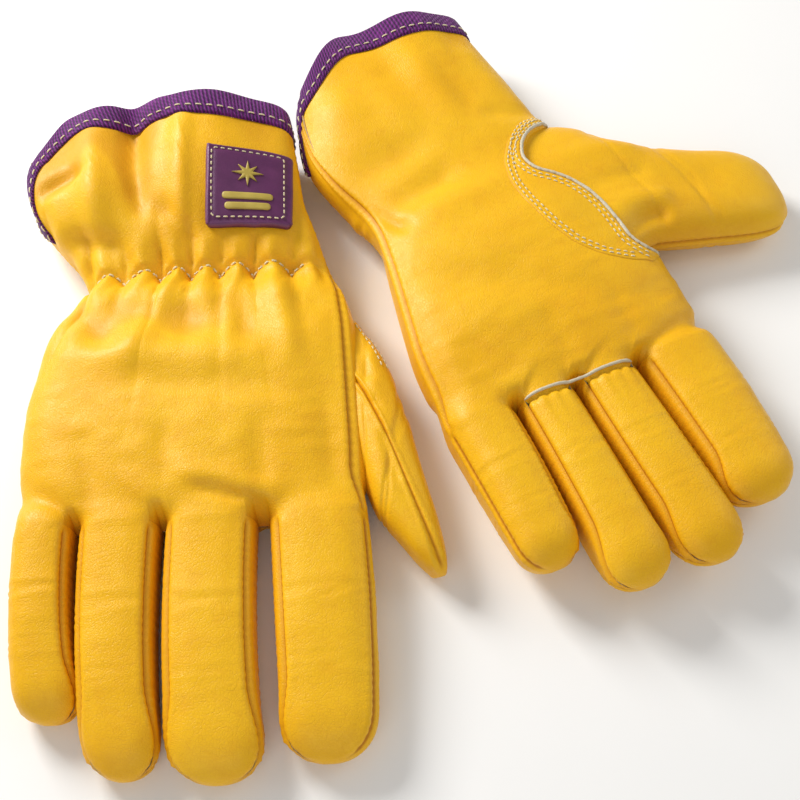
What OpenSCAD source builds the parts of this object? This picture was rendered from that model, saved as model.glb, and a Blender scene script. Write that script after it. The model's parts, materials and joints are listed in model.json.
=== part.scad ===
// A pair of unlined leather welding gloves in the drivers pattern, lying side by side.
// The right glove lies with its back up, the left glove with its palm up.
// Units are millimetres. The floor is z = 0 and the fingers point along -Y.

/* [Leather] */
// Thickness of the hide
leather_t = 1.4; // [1:0.1:2]

/* [Hand] */
// Knuckle line to the elastic at the wrist
palm_len = 104; // [98:1:108]
// Half width across the knuckles of the right glove, which lies flat
knuckle_half_right = 58.5; // [57:0.5:59]
// Half width across the knuckles of the left glove, which lies fuller
knuckle_half_left = 52.5; // [51:0.5:53]
// Height of the right glove at the knuckles
knuckle_h_right = 23; // [20:1:25]
// Height of the left glove at the knuckles
knuckle_h_left = 26; // [23:1:28]

/* [Cuff] */
// Wrist elastic to the cuff edge, right glove
cuff_len_right = 74; // [66:1:78]
// Wrist elastic to the cuff edge, left glove
cuff_len_left = 85; // [76:1:88]
// Height of the right cuff at its edge
cuff_h_right = 40; // [34:1:44]
// Height of the left cuff at its edge
cuff_h_left = 34; // [30:1:40]
// How far the vent runs down the little finger side
vent_depth = 48; // [30:1:52]
// Visible width of the binding tape
binding_w = 10; // [7:0.5:12]
// Thickness of the binding tape
binding_t = 1.2; // [0.8:0.1:1.6]

/* [Trim] */
// Width of the badge across the cuff
badge_w = 32; // [28:1:33]
// Length of the badge along the cuff
badge_l = 34; // [28:1:36]
// Thickness of the badge
badge_t = 2.4; // [1.5:0.1:2.6]
// Width of the elastic inside the wrist
elastic_w = 10; // [6:1:12]
// How far a welt stands out of its seam
welt_t = 1.3; // [0.8:0.1:1.4]
// Thickness of a row of stitches
thread_t = 0.4; // [0.3:0.05:0.5]
// Clearance between a trim piece and what it lies on
trim_gap = 0.4; // [0.3:0.05:0.5]

/* [Hidden] */
RIGHT = 0;
LEFT = 1;
GLOVES = ["right", "left"];

// Where each glove lies: middle of its knuckle line, and its turn about Z.
place_xy = [[-72.29, -83.04], [64.23, -29.53]];
place_turn = [3.1, 22.4];

// Outline of each hand and cuff in the glove's own plane: x to the thumb side, y to the cuff.
// Each table gives a value at a distance from the knuckle line.
cuff_len = [cuff_len_right, cuff_len_left];
knuckle_half = [knuckle_half_right, knuckle_half_left];
knuckle_h = [knuckle_h_right, knuckle_h_left];
cuff_h = [cuff_h_right, cuff_h_left];
edge_little = [
    [[0, -knuckle_half[0]], [35, -59.5], [70, -55.5], [palm_len, -48], [118, -55], [135, -66], [155, -74],
     [palm_len + cuff_len[0], -73]],
    [[0, -knuckle_half[1]], [35, -50.5], [70, -45], [palm_len, -41], [118, -46], [135, -53], [155, -54],
     [palm_len + cuff_len[1], -44]]];
edge_thumb = [
    [[0, knuckle_half[0]], [26, 58.5], [78, 55.5], [palm_len, 48], [118, 43], [135, 37], [155, 35],
     [palm_len + cuff_len[0], 32]],
    [[0, knuckle_half[1]], [35, 53.4], [48, 53], [114, 46.6], [135, 42],
     [palm_len + cuff_len[1], 38]]];
top_z = [
    [[0, knuckle_h[0]], [30, 27], [65, 29], [90, 26], [palm_len, 24], [118, 29], [140, 36],
     [palm_len + cuff_len[0], cuff_h[0]]],
    [[0, knuckle_h[1]], [30, 31], [70, 32], [palm_len, 28], [125, 30], [palm_len + cuff_len[1], cuff_h[1]]]];
floor_z = [
    [[0, 1.6], [4, 1.6], [12, 0], [palm_len + 6, 0], [130, 1.5], [palm_len + cuff_len[0], 3.5]],
    [[0, 0], [88, 0], [palm_len, 2], [120, 5], [palm_len + cuff_len[1], 5]]];

// Shape of a section: how flat its crown is, and how much of its height lies over the middle.
crown_flat = 0.62;
side_flat = 0.62;
crown_share = 0.54;

// Seams as angles round a section, from the thumb side over the top, for a glove with its back up.
radial_seam = 28;
ulnar_seam = 200;
fourchette_half = 38;
gap_deg = 1.2;
// The vent's half angle round the little finger side, and how sharply its corner turns.
vent_half = 55;
vent_power = 1.4;
// The left cuff's corner is drawn back: how far, and where across the cuff that starts and ends.
corner_back = 19;
corner_from = 18;
corner_to = 44;
// The stretch of the back that the elastic gathers.
gather = [42, 138];
// The welt across the bases of the middle and ring fingers.
finger_welt_span = [252, 288];

// Thumb hole, as distances from the knuckle line and an angle round the hand.
thumb_hole = [[24, 80], [46, 116]];
thumb_hole_edge = [46, 60];
keystone_deg = 17;

DIGITS = ["index", "middle", "ring", "little"];
// Each digit's outline: base corner towards the little finger, base corner towards the thumb,
// and the two corners of its tip in the same order.
finger_outline = [
    [[[28.8, -0.6], [58.2, -0.6], [33, -71], [58.6, -71]],
     [[-6.6, -0.6], [22.4, -0.6], [0.6, -79], [26.6, -79]],
     [[-34.6, -0.6], [-9.4, -0.6], [-24.6, -76], [-2.4, -76]],
     [[-58.2, -0.6], [-37.6, -0.6], [-51, -60], [-31, -60]]],
    [[[21.4, -0.6], [52, -0.6], [26, -66], [52, -66]],
     [[-3.4, -0.6], [19.2, -0.6], [-0.6, -79], [23.2, -79]],
     [[-26.6, -0.6], [-5.6, -0.6], [-28, -77], [-5, -77]],
     [[-52, -0.6], [-28.8, -0.6], [-52, -61], [-31.4, -61]]]];
thumb_outline = [
    [[59.5, 26], [56.5, 78], [75, -17], [88, -15]],
    [[54, 48], [47.6, 114], [114, 38], [123, 73]]];
// Heights of a digit at its base, middle and tip: underside, then top.
finger_under = [[0, 0, 0], [0, 1, 8]];
finger_over = [[knuckle_h[0], 20, 14], [knuckle_h[1], 25, 24]];
thumb_under = [[0, 0, 0], [3, 0.5, 2]];
thumb_over = [[22, 22, 13], [24, 22, 18]];
tip_start = 0.72;

// Where the badge sits on the back of the cuff: its centre.
badge_at = [[16, 131], [18, 136]];

leather = [0.97, 0.75, 0.17];
side_leather = [0.93, 0.68, 0.12];
purple = [0.38, 0.1, 0.48];
badge_purple = [0.33, 0.14, 0.37];
gold = [0.75, 0.66, 0.2];
cream = [0.92, 0.88, 0.78];
elastic_white = [0.85, 0.85, 0.82];

function signed_power(x, e) = sign(x) * pow(abs(x), e);
function mix(a, b, t) = a + (b - a) * t;
function clamp01(x) = max(0, min(1, x));
function steps(a, b, n) = [for (i = [0:n]) mix(a, b, i / n)];
// An angle given for a glove with its back up, for either glove.
function laid(g, angle) = g == RIGHT ? angle : -angle;

// A point of a section that spans from one floor point to another, between two heights,
// pushed out by an offset. Its underside is flat.
function section_point(a, b, low, high, angle, off) =
    let (mid = (a + b) / 2, half = (b - a) / 2, reach = norm(half),
         side = signed_power(cos(angle), side_flat), rise = signed_power(sin(angle), crown_flat),
         across = mid + half * (reach + off) / reach * side,
         height = high - low + 2 * off)
    [across.x, across.y, low - off + max(0, height * (1 - crown_share + crown_share * rise))];

// The hand and cuff. s runs 0 to 1 from knuckles to wrist and 1 to 2 from wrist to cuff edge.
function eased(x) = x * x * (3 - 2 * x);
function corner_drop(turn) = turn > 90 ? 0 :
    corner_back * eased(clamp01(
        (corner_to * pow(cos(turn), side_flat) - corner_from) / (corner_to - corner_from)
    ));
function vent_drop(g, angle) =
    let (turn = abs((((laid(g, angle) - 180) % 360) + 540) % 360 - 180))
    max(vent_depth * pow(clamp01(1 - turn / vent_half), vent_power), g == LEFT ? corner_drop(turn) : 0);
function edge_y(g, angle) = palm_len + cuff_len[g] - vent_drop(g, angle);
function hand_y(g, s, angle) = s <= 1 ? mix(0.3, palm_len, s) : mix(palm_len, edge_y(g, angle), s - 1);
function hand_at(g, y, angle, off) =
    section_point([lookup(y, edge_little[g]), y], [lookup(y, edge_thumb[g]), y],
        lookup(y, floor_z[g]), lookup(y, top_z[g]), angle, off);
function hand_skin(g) = function(s, angle, off) hand_at(g, hand_y(g, s, angle), angle, off);
function cuff_skin(g) = function(y, angle, off) hand_at(g, y, angle, off);
// The cuff edge, where s is the distance in from the edge itself.
function rim_skin(g) = function(s, angle, off) hand_at(g, edge_y(g, angle) - s, angle, off);

// A digit. t runs 0 to 1 from base to tip.
function tip_fade(t, least, power) =
    let (x = clamp01((t - tip_start) / (1 - tip_start))) max(least, pow(1 - pow(x, power), 0.5));
function three_point(v, t) = t < 0.5 ? mix(v[0], v[1], 2 * t) : mix(v[1], v[2], 2 * t - 1);
function digit_skin(outline, under, over) = function(t, angle, off)
    let (a = mix(outline[0], outline[2], t), b = mix(outline[1], outline[3], t),
         mid = (a + b) / 2, w = tip_fade(t, 0.42, 3), h = tip_fade(t, 0.34, 2.4),
         low = three_point(under, t), high = three_point(over, t), seam = mix(low, high, 0.45))
    section_point(mix(mid, a, w), mix(mid, b, w), mix(seam, low, h), mix(seam, high, h), angle, off);

// Triangles between two closed loops of n points.
function tube_faces(n, from, to) = [for (i = [0:n - 1], k = [0, 1])
    let (j = (i + 1) % n)
    k == 0 ? [from + i, from + j, to + j] : [from + i, to + j, to + i]];

// A thick patch of a skin between two angles, from an inner to an outer offset. start and end give
// the first and last angle at each station.
module patch(skin, stations, start, end, columns, inner, outer) {
    rows = len(stations);
    cols = columns + 1;
    ring = 2 * cols;
    points = [for (s = stations) each concat(
        [for (c = [0:columns]) skin(s, mix(start(s), end(s), c / columns), outer)],
        [for (c = [columns:-1:0]) skin(s, mix(start(s), end(s), c / columns), inner)])];
    sides = [for (r = [0:rows - 2]) each tube_faces(ring, r * ring, (r + 1) * ring)];
    function cap(r) = [for (c = [0:columns - 1], k = [0, 1])
        let (o = r * ring, a = o + c, b = o + c + 1, d = o + ring - 1 - c, e = o + ring - 2 - c)
        k == 0 ? [a, d, e] : [a, e, b]];
    last = [for (f = cap(rows - 1)) [f[0], f[2], f[1]]];
    polyhedron(points, concat(sides, cap(0), last), 4);
}

// A closed band round a skin between two stations.
module band(skin, first, last, columns, inner, outer) {
    corners = [[first, inner], [first, outer], [last, outer], [last, inner]];
    points = [for (c = [0:columns - 1], k = corners) skin(k[0], 360 * c / columns, k[1])];
    faces = [for (c = [0:columns - 1], k = [0:3], h = [0, 1])
        let (a = 4 * c, b = 4 * ((c + 1) % columns), l = (k + 1) % 4)
        h == 0 ? [a + k, b + l, b + k] : [a + k, a + l, b + l]];
    polyhedron(points, faces, 4);
}

function fixed(value) = function(s) value;

module laid_out(g) {
    translate([place_xy[g].x, place_xy[g].y, 0]) rotate([0, 0, place_turn[g]]) children();
}

// A patch whose angles are given for a glove with its back up.
module glove_patch(g, skin, stations, start, end, columns, inner, outer) {
    if (g == RIGHT) patch(skin, stations, start, end, columns, inner, outer);
    else patch(skin, stations, function(s) -end(s), function(s) -start(s), columns, inner, outer);
}

HAND_STATIONS = concat([0, 0.036, 0.114], steps(0.2, 1, 9), steps(1.1, 2, 8));
FINGER_STATIONS = [0, 0.1, 0.25, 0.42, 0.58, 0.72, 0.82, 0.89, 0.94, 0.975, 1];

module back_panel(g) {
    color(leather) laid_out(g) glove_patch(g, hand_skin(g), HAND_STATIONS,
        fixed(radial_seam + gap_deg), fixed(ulnar_seam - gap_deg), 18, -leather_t, 0);
}

// The palm stops short round the thumb hole, where the keystone and the thumb are sewn in.
function in_hole(g, s) = let (y = hand_y(g, s, 0)) s <= 1.3 && y > thumb_hole[g][0] && y < thumb_hole[g][1];
module palm_panel(g) {
    color(leather) laid_out(g) glove_patch(g, hand_skin(g), HAND_STATIONS,
        fixed(ulnar_seam + gap_deg),
        function(s) in_hole(g, s) ? 360 - thumb_hole_edge[g] - gap_deg : 360 + radial_seam - gap_deg,
        18, -leather_t, 0);
}

// The crescent gusset sewn in beside the thumb hole.
module thumb_keystone(g) {
    hole = thumb_hole[g];
    color(leather) laid_out(g) glove_patch(g, cuff_skin(g), steps(hole[0] + 10, hole[1] - 10, 7),
        fixed(360 - thumb_hole_edge[g] + gap_deg), fixed(360 - thumb_hole_edge[g] + keystone_deg), 3,
        -leather_t, 0);
}

module finger_patch(g, f, start, end, columns) {
    skin = digit_skin(finger_outline[g][f], finger_under[g], finger_over[g]);
    laid_out(g) glove_patch(g, skin, FINGER_STATIONS, start, end, columns, -leather_t, 0);
}

// Half of the angle that the side strip of a finger takes up. It runs out at the tip.
function strip_half(t) = mix(fourchette_half, 6, clamp01((t - tip_start) / (1 - tip_start)));
// The side strips lie towards the thumb (0) and towards the little finger (180).
function has_strip(f, towards_thumb) = towards_thumb ? f != 0 : f != len(DIGITS) - 1;
function thumb_side_seam(f) = function(t) has_strip(f, true) ? strip_half(t) : radial_seam;
function little_side_seam(f) = function(t) has_strip(f, false) ? 180 - strip_half(t) : ulnar_seam;

module finger_back(g, f) {
    low = thumb_side_seam(f);
    high = little_side_seam(f);
    color(leather) finger_patch(g, f, function(t) low(t) + gap_deg, function(t) high(t) - gap_deg, 8);
}

module finger_front(g, f) {
    low = little_side_seam(f);
    high = thumb_side_seam(f);
    start = function(t) (has_strip(f, false) ? 360 - low(t) : low(t)) + gap_deg;
    end = function(t) (has_strip(f, true) ? 360 - high(t) : 360 + high(t)) - gap_deg;
    color(leather) finger_patch(g, f, start, end, 8);
}

module fourchette(g, f, towards_thumb) {
    mid = towards_thumb ? 0 : 180;
    color(side_leather) finger_patch(g, f, function(t) mid - strip_half(t) + gap_deg,
        function(t) mid + strip_half(t) - gap_deg, 3);
}

// The thumb's two halves meet in a seam along its upper edge and round its tip.
module thumb_half(g, start, end) {
    skin = digit_skin(thumb_outline[g], thumb_under[g], thumb_over[g]);
    color(leather) laid_out(g)
        patch(skin, FINGER_STATIONS, fixed(start + gap_deg), fixed(end - gap_deg), 10, -leather_t, 0);
}
// On the right glove the seam faces up, on the left glove it faces the cuff.
thumb_seam = [90, 0];
module thumb_back(g) {
    thumb_half(g, thumb_seam[g] - 180, thumb_seam[g]);
}
module thumb_front(g) {
    thumb_half(g, thumb_seam[g], thumb_seam[g] + 180);
}

module thumb_welt(g) {
    hole = thumb_hole[g];
    lie = 360 - thumb_hole_edge[g] + keystone_deg - 5;
    color(cream) laid_out(g) glove_patch(g, cuff_skin(g), steps(hole[0] + 12, hole[1] - 12, 7),
        fixed(lie), fixed(lie + 3), 1, trim_gap, welt_t);
}

// The welt across the base of the middle and ring fingers, on the palm side.
module finger_welt(g) {
    color(cream) laid_out(g) glove_patch(g, cuff_skin(g), [1.2, 2.2, 3.2],
        fixed(finger_welt_span[0]), fixed(finger_welt_span[1]), 8, trim_gap, welt_t);
}

// The tape stands a little off the leather, and its outer face lies at binding_face.
tape_gap = 0.9;
binding_face = tape_gap + binding_t;
module cuff_binding(g) {
    color(purple) laid_out(g) band(rim_skin(g), binding_w, -binding_t, 96, tape_gap, binding_face);
}

// Width of a row of stitches.
row_w = 0.8;
module binding_stitching(g) {
    lie = binding_w * 0.36;
    color(cream) laid_out(g) band(rim_skin(g), lie + row_w, lie, 96,
        binding_face + trim_gap, binding_face + trim_gap + thread_t);
}

module wrist_elastic(g) {
    color(elastic_white) laid_out(g) glove_patch(g, cuff_skin(g),
        steps(palm_len - elastic_w / 2, palm_len + elastic_w / 2, 2), fixed(gather[0]), fixed(gather[1]), 8,
        -leather_t - 1.2, -leather_t - 0.15);
}

// The gathering stitch runs in scallops over the elastic.
scallop_count = 7;
scallop_h = 3;
module wrist_stitching(g) {
    skin = function(s, angle, off)
        hand_at(g, palm_len + s + scallop_h * cos(scallop_count * 4 * (laid(g, angle) - gather[0])),
            angle, off);
    color(cream) laid_out(g) glove_patch(g, skin, [-row_w / 2, row_w / 2], fixed(gather[0] + 2),
        fixed(gather[1] - 2), 40, trim_gap, trim_gap + thread_t);
}

// Two rows of stitches hold the keystone.
module keystone_stitching(g) {
    hole = thumb_hole[g];
    for (row = [0, 1]) {
        lie = 360 - thumb_hole_edge[g] + 3 + row * 4;
        color(cream) laid_out(g) glove_patch(g, cuff_skin(g), steps(hole[0] + 12, hole[1] - 12, 9),
            fixed(lie), fixed(lie + 1.2), 1, trim_gap, trim_gap + thread_t);
    }
}

// A rectangle laid on the cuff, by its corners in the glove's own plane.
function angle_at(g, x, y) =
    let (a = lookup(y, edge_little[g]), b = lookup(y, edge_thumb[g]))
    acos(signed_power(max(-1, min(1, (2 * x - a - b) / (b - a))), 1 / side_flat));
module cuff_tile(g, x0, y0, x1, y1, rows, columns, inner, outer) {
    laid_out(g) glove_patch(g, cuff_skin(g), steps(y0, y1, rows),
        function(y) angle_at(g, x1, y), function(y) angle_at(g, x0, y), columns, inner, outer);
}

module badge(g) {
    c = badge_at[g];
    color(badge_purple) cuff_tile(g, c.x - badge_w / 2, c.y - badge_l / 2, c.x + badge_w / 2,
        c.y + badge_l / 2, 6, 6, trim_gap, trim_gap + badge_t);
}

badge_face = 2 * trim_gap + badge_t;
badge_stitch_inset = 3;
module badge_stitching(g) {
    c = badge_at[g];
    w = badge_w / 2 - badge_stitch_inset;
    l = badge_l / 2 - badge_stitch_inset;
    color(cream) {
        for (side = [-1, 1]) {
            x = c.x + side * w;
            y = c.y + side * l;
            cuff_tile(g, x - row_w / 2, c.y - l + 1, x + row_w / 2, c.y + l - 1, 6, 1,
                badge_face, badge_face + thread_t);
            cuff_tile(g, c.x - w + 1, y - row_w / 2, c.x + w - 1, y + row_w / 2, 1, 6,
                badge_face, badge_face + thread_t);
        }
    }
}

// A plain raised mark: a block over two bars.
emblem_block = 12;
emblem_bar = [18, 2];
emblem_t = 0.5;
module badge_emblem(g) {
    c = badge_at[g];
    half = emblem_block / 2;
    color(gold) {
        cuff_tile(g, c.x - half, c.y - 2, c.x + half, c.y - 2 + emblem_block, 2, 2,
            badge_face, badge_face + emblem_t);
        for (y = [c.y - 6.5, c.y - 11])
            cuff_tile(g, c.x - emblem_bar.x / 2, y, c.x + emblem_bar.x / 2, y + emblem_bar.y, 1, 4,
                badge_face, badge_face + emblem_t);
    }
}

// Every finger's side strips: finger number, and whether the strip is on its thumb side.
STRIPS = [["index_fourchette", 0, false],
    ["middle_thumbside_fourchette", 1, true], ["middle_littleside_fourchette", 1, false],
    ["ring_thumbside_fourchette", 2, true], ["ring_littleside_fourchette", 2, false],
    ["little_fourchette", 3, true]];
TRIM = ["back_panel", "palm_panel", "thumb_keystone", "thumb_front", "thumb_back", "thumb_welt",
    "finger_welt", "cuff_binding", "binding_stitching", "wrist_elastic", "wrist_stitching",
    "keystone_stitching", "badge", "badge_stitching", "badge_emblem"];

module sub_part(name, g) {
    if (name == "back_panel") back_panel(g);
    if (name == "palm_panel") palm_panel(g);
    if (name == "thumb_keystone") thumb_keystone(g);
    if (name == "thumb_front") thumb_front(g);
    if (name == "thumb_back") thumb_back(g);
    if (name == "thumb_welt") thumb_welt(g);
    if (name == "finger_welt") finger_welt(g);
    if (name == "cuff_binding") cuff_binding(g);
    if (name == "binding_stitching") binding_stitching(g);
    if (name == "wrist_elastic") wrist_elastic(g);
    if (name == "wrist_stitching") wrist_stitching(g);
    if (name == "keystone_stitching") keystone_stitching(g);
    if (name == "badge") badge(g);
    if (name == "badge_stitching") badge_stitching(g);
    if (name == "badge_emblem") badge_emblem(g);
    for (f = [0:len(DIGITS) - 1]) {
        if (name == str(DIGITS[f], "_back")) finger_back(g, f);
        if (name == str(DIGITS[f], "_front")) finger_front(g, f);
    }
    for (s = STRIPS)
        if (name == s[0]) fourchette(g, s[1], s[2]);
}

SUB_PARTS = concat(TRIM, [for (d = DIGITS, face = ["back", "front"]) str(d, "_", face)],
    [for (s = STRIPS) s[0]]);
for (g = [RIGHT, LEFT], name = SUB_PARTS)
    sub_part(name, g);
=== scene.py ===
import json
import math

import bpy
import numpy as np
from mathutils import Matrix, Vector
from mathutils.bvhtree import BVHTree


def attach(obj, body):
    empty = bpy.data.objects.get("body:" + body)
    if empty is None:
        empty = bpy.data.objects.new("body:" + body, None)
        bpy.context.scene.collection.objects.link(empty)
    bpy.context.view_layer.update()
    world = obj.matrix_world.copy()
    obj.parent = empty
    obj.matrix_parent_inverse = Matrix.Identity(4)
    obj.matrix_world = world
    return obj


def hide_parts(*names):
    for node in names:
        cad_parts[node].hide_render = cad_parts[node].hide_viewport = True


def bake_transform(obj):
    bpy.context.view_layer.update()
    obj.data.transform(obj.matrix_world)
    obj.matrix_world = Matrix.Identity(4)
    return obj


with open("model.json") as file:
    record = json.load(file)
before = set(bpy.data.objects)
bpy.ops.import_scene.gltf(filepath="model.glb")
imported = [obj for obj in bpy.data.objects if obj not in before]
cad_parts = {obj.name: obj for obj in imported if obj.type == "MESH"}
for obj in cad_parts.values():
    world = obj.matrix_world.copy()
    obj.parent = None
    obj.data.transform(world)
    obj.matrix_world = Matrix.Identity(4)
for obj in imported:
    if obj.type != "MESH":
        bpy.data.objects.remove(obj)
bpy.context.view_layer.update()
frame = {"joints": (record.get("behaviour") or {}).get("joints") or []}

# Lengths in this script are millimetres in each glove's own plane: u to the thumb side, v to the
# cuff, z up, from the middle of the knuckle line. Layout turns them into the row frame in metres.
MM = 0.001
SIDES = ("right", "left")
DIGITS = ("index", "middle", "ring", "little")
INDEX_U = {"right": 43.5, "left": 36.7}
LEATHER_T = 1.3
# The least height over the floor: of an outer face, of an inner one, and of anything at all.
FLOOR_GAP = 0.1
INNER_GAP = 0.12
LEAST_GAP = 0.06
WEB_V = -0.3
PALM_LEN = 104.0
CUFF_LEN = {"right": 74.0, "left": 85.0}
# The cuff's edge dips at the little finger's side, and the left cuff's corner is drawn back further.
VENT_DEPTH = 48.0
VENT_HALF = 55.0
VENT_POWER = 1.4
CORNER_BACK = 19.0
CORNER_FROM = 18.0
CORNER_TO = 44.0
ULNAR_SEAM = 200.0
# The strips between the fingers span this angle each way from the finger's side, and narrow at the tip.
STRIP_HALF = 42.0
STRIP_HALF_AT_TIP = 4.0
STRIP_TAPER_FROM = 0.66
# How boxy a section is: powers of the sine and cosine, below 1 for flatter sides and a flatter top.
CROWN_FLAT = 0.62
SIDE_FLAT = 0.62
DIGIT_CROWN_FLAT = 0.76
DIGIT_SIDE_FLAT = 0.66
CROWN_SHARE = 0.54
joints = {j["name"]: j for j in frame["joints"]}


class Layout:
    """Where a glove lies, read from its index finger's joint."""

    def __init__(self, side):
        joint = joints[side + "_index_bend"]
        self.x = -np.array(joint["axis"][:2])
        self.y = np.array([-self.x[1], self.x[0]])
        self.origin = np.array(joint["pos_m"][:2]) / MM - self.x * INDEX_U[side]

    def world(self, p):
        p = np.asarray(p, float)
        plane = self.origin + p[..., 0:1] * self.x + p[..., 1:2] * self.y
        return np.concatenate([plane, p[..., 2:3]], -1) * MM

    def direction(self, n):
        plane = n[..., 0:1] * self.x + n[..., 1:2] * self.y
        return np.concatenate([plane, n[..., 2:3]], -1)


layouts = {side: Layout(side) for side in SIDES}


def smooth(x):
    x = np.clip(x, 0.0, 1.0)
    return x * x * (3 - 2 * x)


def bell(x, width):
    return np.exp(-((x / width) ** 2))


def unit(a):
    return a / np.maximum(np.linalg.norm(a, axis=-1, keepdims=True), 1e-9)


def signed_power(x, e):
    return np.sign(x) * np.abs(x) ** e


class Profile:
    """A value that changes smoothly along a line, from a few set points."""

    def __init__(self, points, soft, step=1.0):
        at, value = zip(*points)
        reach = int(4 * soft / step)
        self.at = np.arange(min(at) - 20 * step, max(at) + 20 * step, step)
        kernel = np.exp(-0.5 * (np.arange(-reach, reach + 1) * step / soft) ** 2)
        raw = np.pad(np.interp(self.at, at, value), reach, mode="edge")
        self.value = np.convolve(raw, kernel / kernel.sum(), "valid")

    def __call__(self, v):
        return np.interp(v, self.at, self.value)


def noise(p, scale, seed):
    """Smooth noise from -1 to 1 at points p, with features about 1 / scale mm wide."""
    p = np.asarray(p, float) * scale + 311.7
    cell = np.floor(p).astype(np.int64)
    f = p - cell
    f = f * f * (3 - 2 * f)
    total = 0.0
    for corner in range(8):
        step = np.array([corner & 1, corner >> 1 & 1, corner >> 2 & 1])
        k = cell + step
        h = k[..., 0] * 374761393 + k[..., 1] * 668265263 + k[..., 2] * 1440662683 + seed * 97531
        h = ((h & 0xFFFFFFFF) ^ ((h & 0xFFFFFFFF) >> 13)) * 1274126177 & 0xFFFFFFFF
        value = ((h ^ (h >> 16)) & 0xFFFF) / 32767.5 - 1
        total = total + value * np.prod(np.where(step, f, 1 - f), axis=-1)
    return total


def path_lengths(points):
    """The distance of each point of a polyline from its start."""
    return np.concatenate([[0], np.cumsum(np.linalg.norm(np.diff(points, axis=0), axis=1))])


def at_lengths(points, length, at):
    """Points at the given distances along a polyline."""
    return np.stack([np.interp(at, length, points[:, k]) for k in range(points.shape[1])], -1)


def resample(points, shares):
    """Points at the given shares of a polyline's length."""
    length = path_lengths(points)
    return at_lengths(points, length, np.asarray(shares) * length[-1])


def at_height(line, z):
    """The points of a flat line, all at one height."""
    return np.concatenate([line, np.full((len(line), 1), z)], 1)


def keep_above(points, z):
    """Lifts the points that lie lower than z onto it."""
    points[..., 2] = np.maximum(points[..., 2], z)
    return points


def layers(*grids):
    """The points of some grids, one grid after another."""
    return np.concatenate([grid.reshape(-1, 3) for grid in grids])


def between_ends(share, margin):
    """1 along a span, falling to 0 over a margin at both of its ends."""
    return smooth(share / margin) * smooth((1 - share) / margin)


def clustered(n, pull=0.72):
    """n steps from 0 to 1, closer together at both ends."""
    x = np.linspace(0, 1, n + 1)
    return x - pull * np.sin(2 * np.pi * x) / (2 * np.pi)


def section_point(a, b, low, high, angle, side_flat=SIDE_FLAT, crown_flat=CROWN_FLAT):
    """A point of a section spanning two floor points between two heights, with a flat underside."""
    turn = np.radians(angle)
    mid, half = (a + b) / 2, (b - a) / 2
    across = mid + half * signed_power(np.cos(turn), side_flat)[..., None]
    rise = signed_power(np.sin(turn), crown_flat)
    z = low + np.maximum(0, (high - low) * (1 - CROWN_SHARE + CROWN_SHARE * rise))
    return np.concatenate([across, z[..., None]], -1)


# Outline of each hand and cuff: a value at each distance from the knuckle line.
edge_little = {
    "right": Profile([(0, -56.5), (35, -59), (70, -54.5), (88, -48.5), (101, -43), (107, -44),
                      (118, -53), (135, -67), (155, -75.5), (178, -74)], 4),
    "left": Profile([(0, -53), (30, -53.3), (70, -47), (92, -44), (104, -45.5), (118, -52), (135, -56),
                     (155, -54.5), (189, -44)], 5)}
edge_thumb = {
    "right": Profile([(0, 60), (26, 60.5), (78, 58.5), (92, 54.5), (104, 49), (118, 45), (135, 39),
                      (155, 37), (178, 34)], 5),
    "left": Profile([(0, 53), (35, 52.5), (48, 51.5), (114, 44), (135, 39.5), (189, 35.5)], 6)}
top_height = {
    "right": Profile([(0, 23), (30, 27), (65, 29.5), (90, 27.5), (102, 20.5), (110, 25), (120, 30.5),
                      (140, 36), (178, 40)], 3.5),
    "left": Profile([(0, 26), (30, 31), (70, 32), (104, 28), (125, 30), (189, 34)], 6)}
floor_height = {
    "right": Profile([(0, 1.2), (12, 0.2), (110, 0.2), (130, 1.5), (178, 3.5)], 4),
    "left": Profile([(0, 0.2), (88, 0.2), (104, 2), (120, 5), (189, 5)], 4)}


# The side seam towards the thumb lies over the top of the hand's edge and down the side of the cuff.
radial_seam = Profile([(0, 30), (84, 30), (108, 6), (190, 0)], 6)


def rim_v(side, theta):
    """How far from the knuckle line the cuff's edge lies, at an angle round the cuff."""
    turn = np.abs((theta - 180 + 540) % 360 - 180)
    drop = VENT_DEPTH * np.clip(1 - turn / VENT_HALF, 0, 1) ** VENT_POWER
    if side == "left":
        across = np.abs(np.cos(np.radians(theta))) ** SIDE_FLAT * np.where(turn < 90, 1, -1)
        share = (across * CORNER_TO - CORNER_FROM) / (CORNER_TO - CORNER_FROM)
        drop = np.maximum(drop, CORNER_BACK * smooth(share))
    return PALM_LEN + CUFF_LEN[side] - drop


def physical(side, theta):
    """Angles are written for a glove with its back up; the left glove lies palm up."""
    return theta if side == "right" else -theta


def hand_point(side, s, theta):
    """s runs 0 to 1 from knuckles to wrist and 1 to 2 from wrist to the cuff edge."""
    theta = np.asarray(theta, float)
    cuff = PALM_LEN + (rim_v(side, theta) - PALM_LEN) * (s - 1)
    v = np.where(s <= 1, s * PALM_LEN, cuff)
    a = np.stack([edge_little[side](v), v], -1)
    b = np.stack([edge_thumb[side](v), v], -1)
    return section_point(a, b, floor_height[side](v), top_height[side](v), physical(side, theta))


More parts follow.
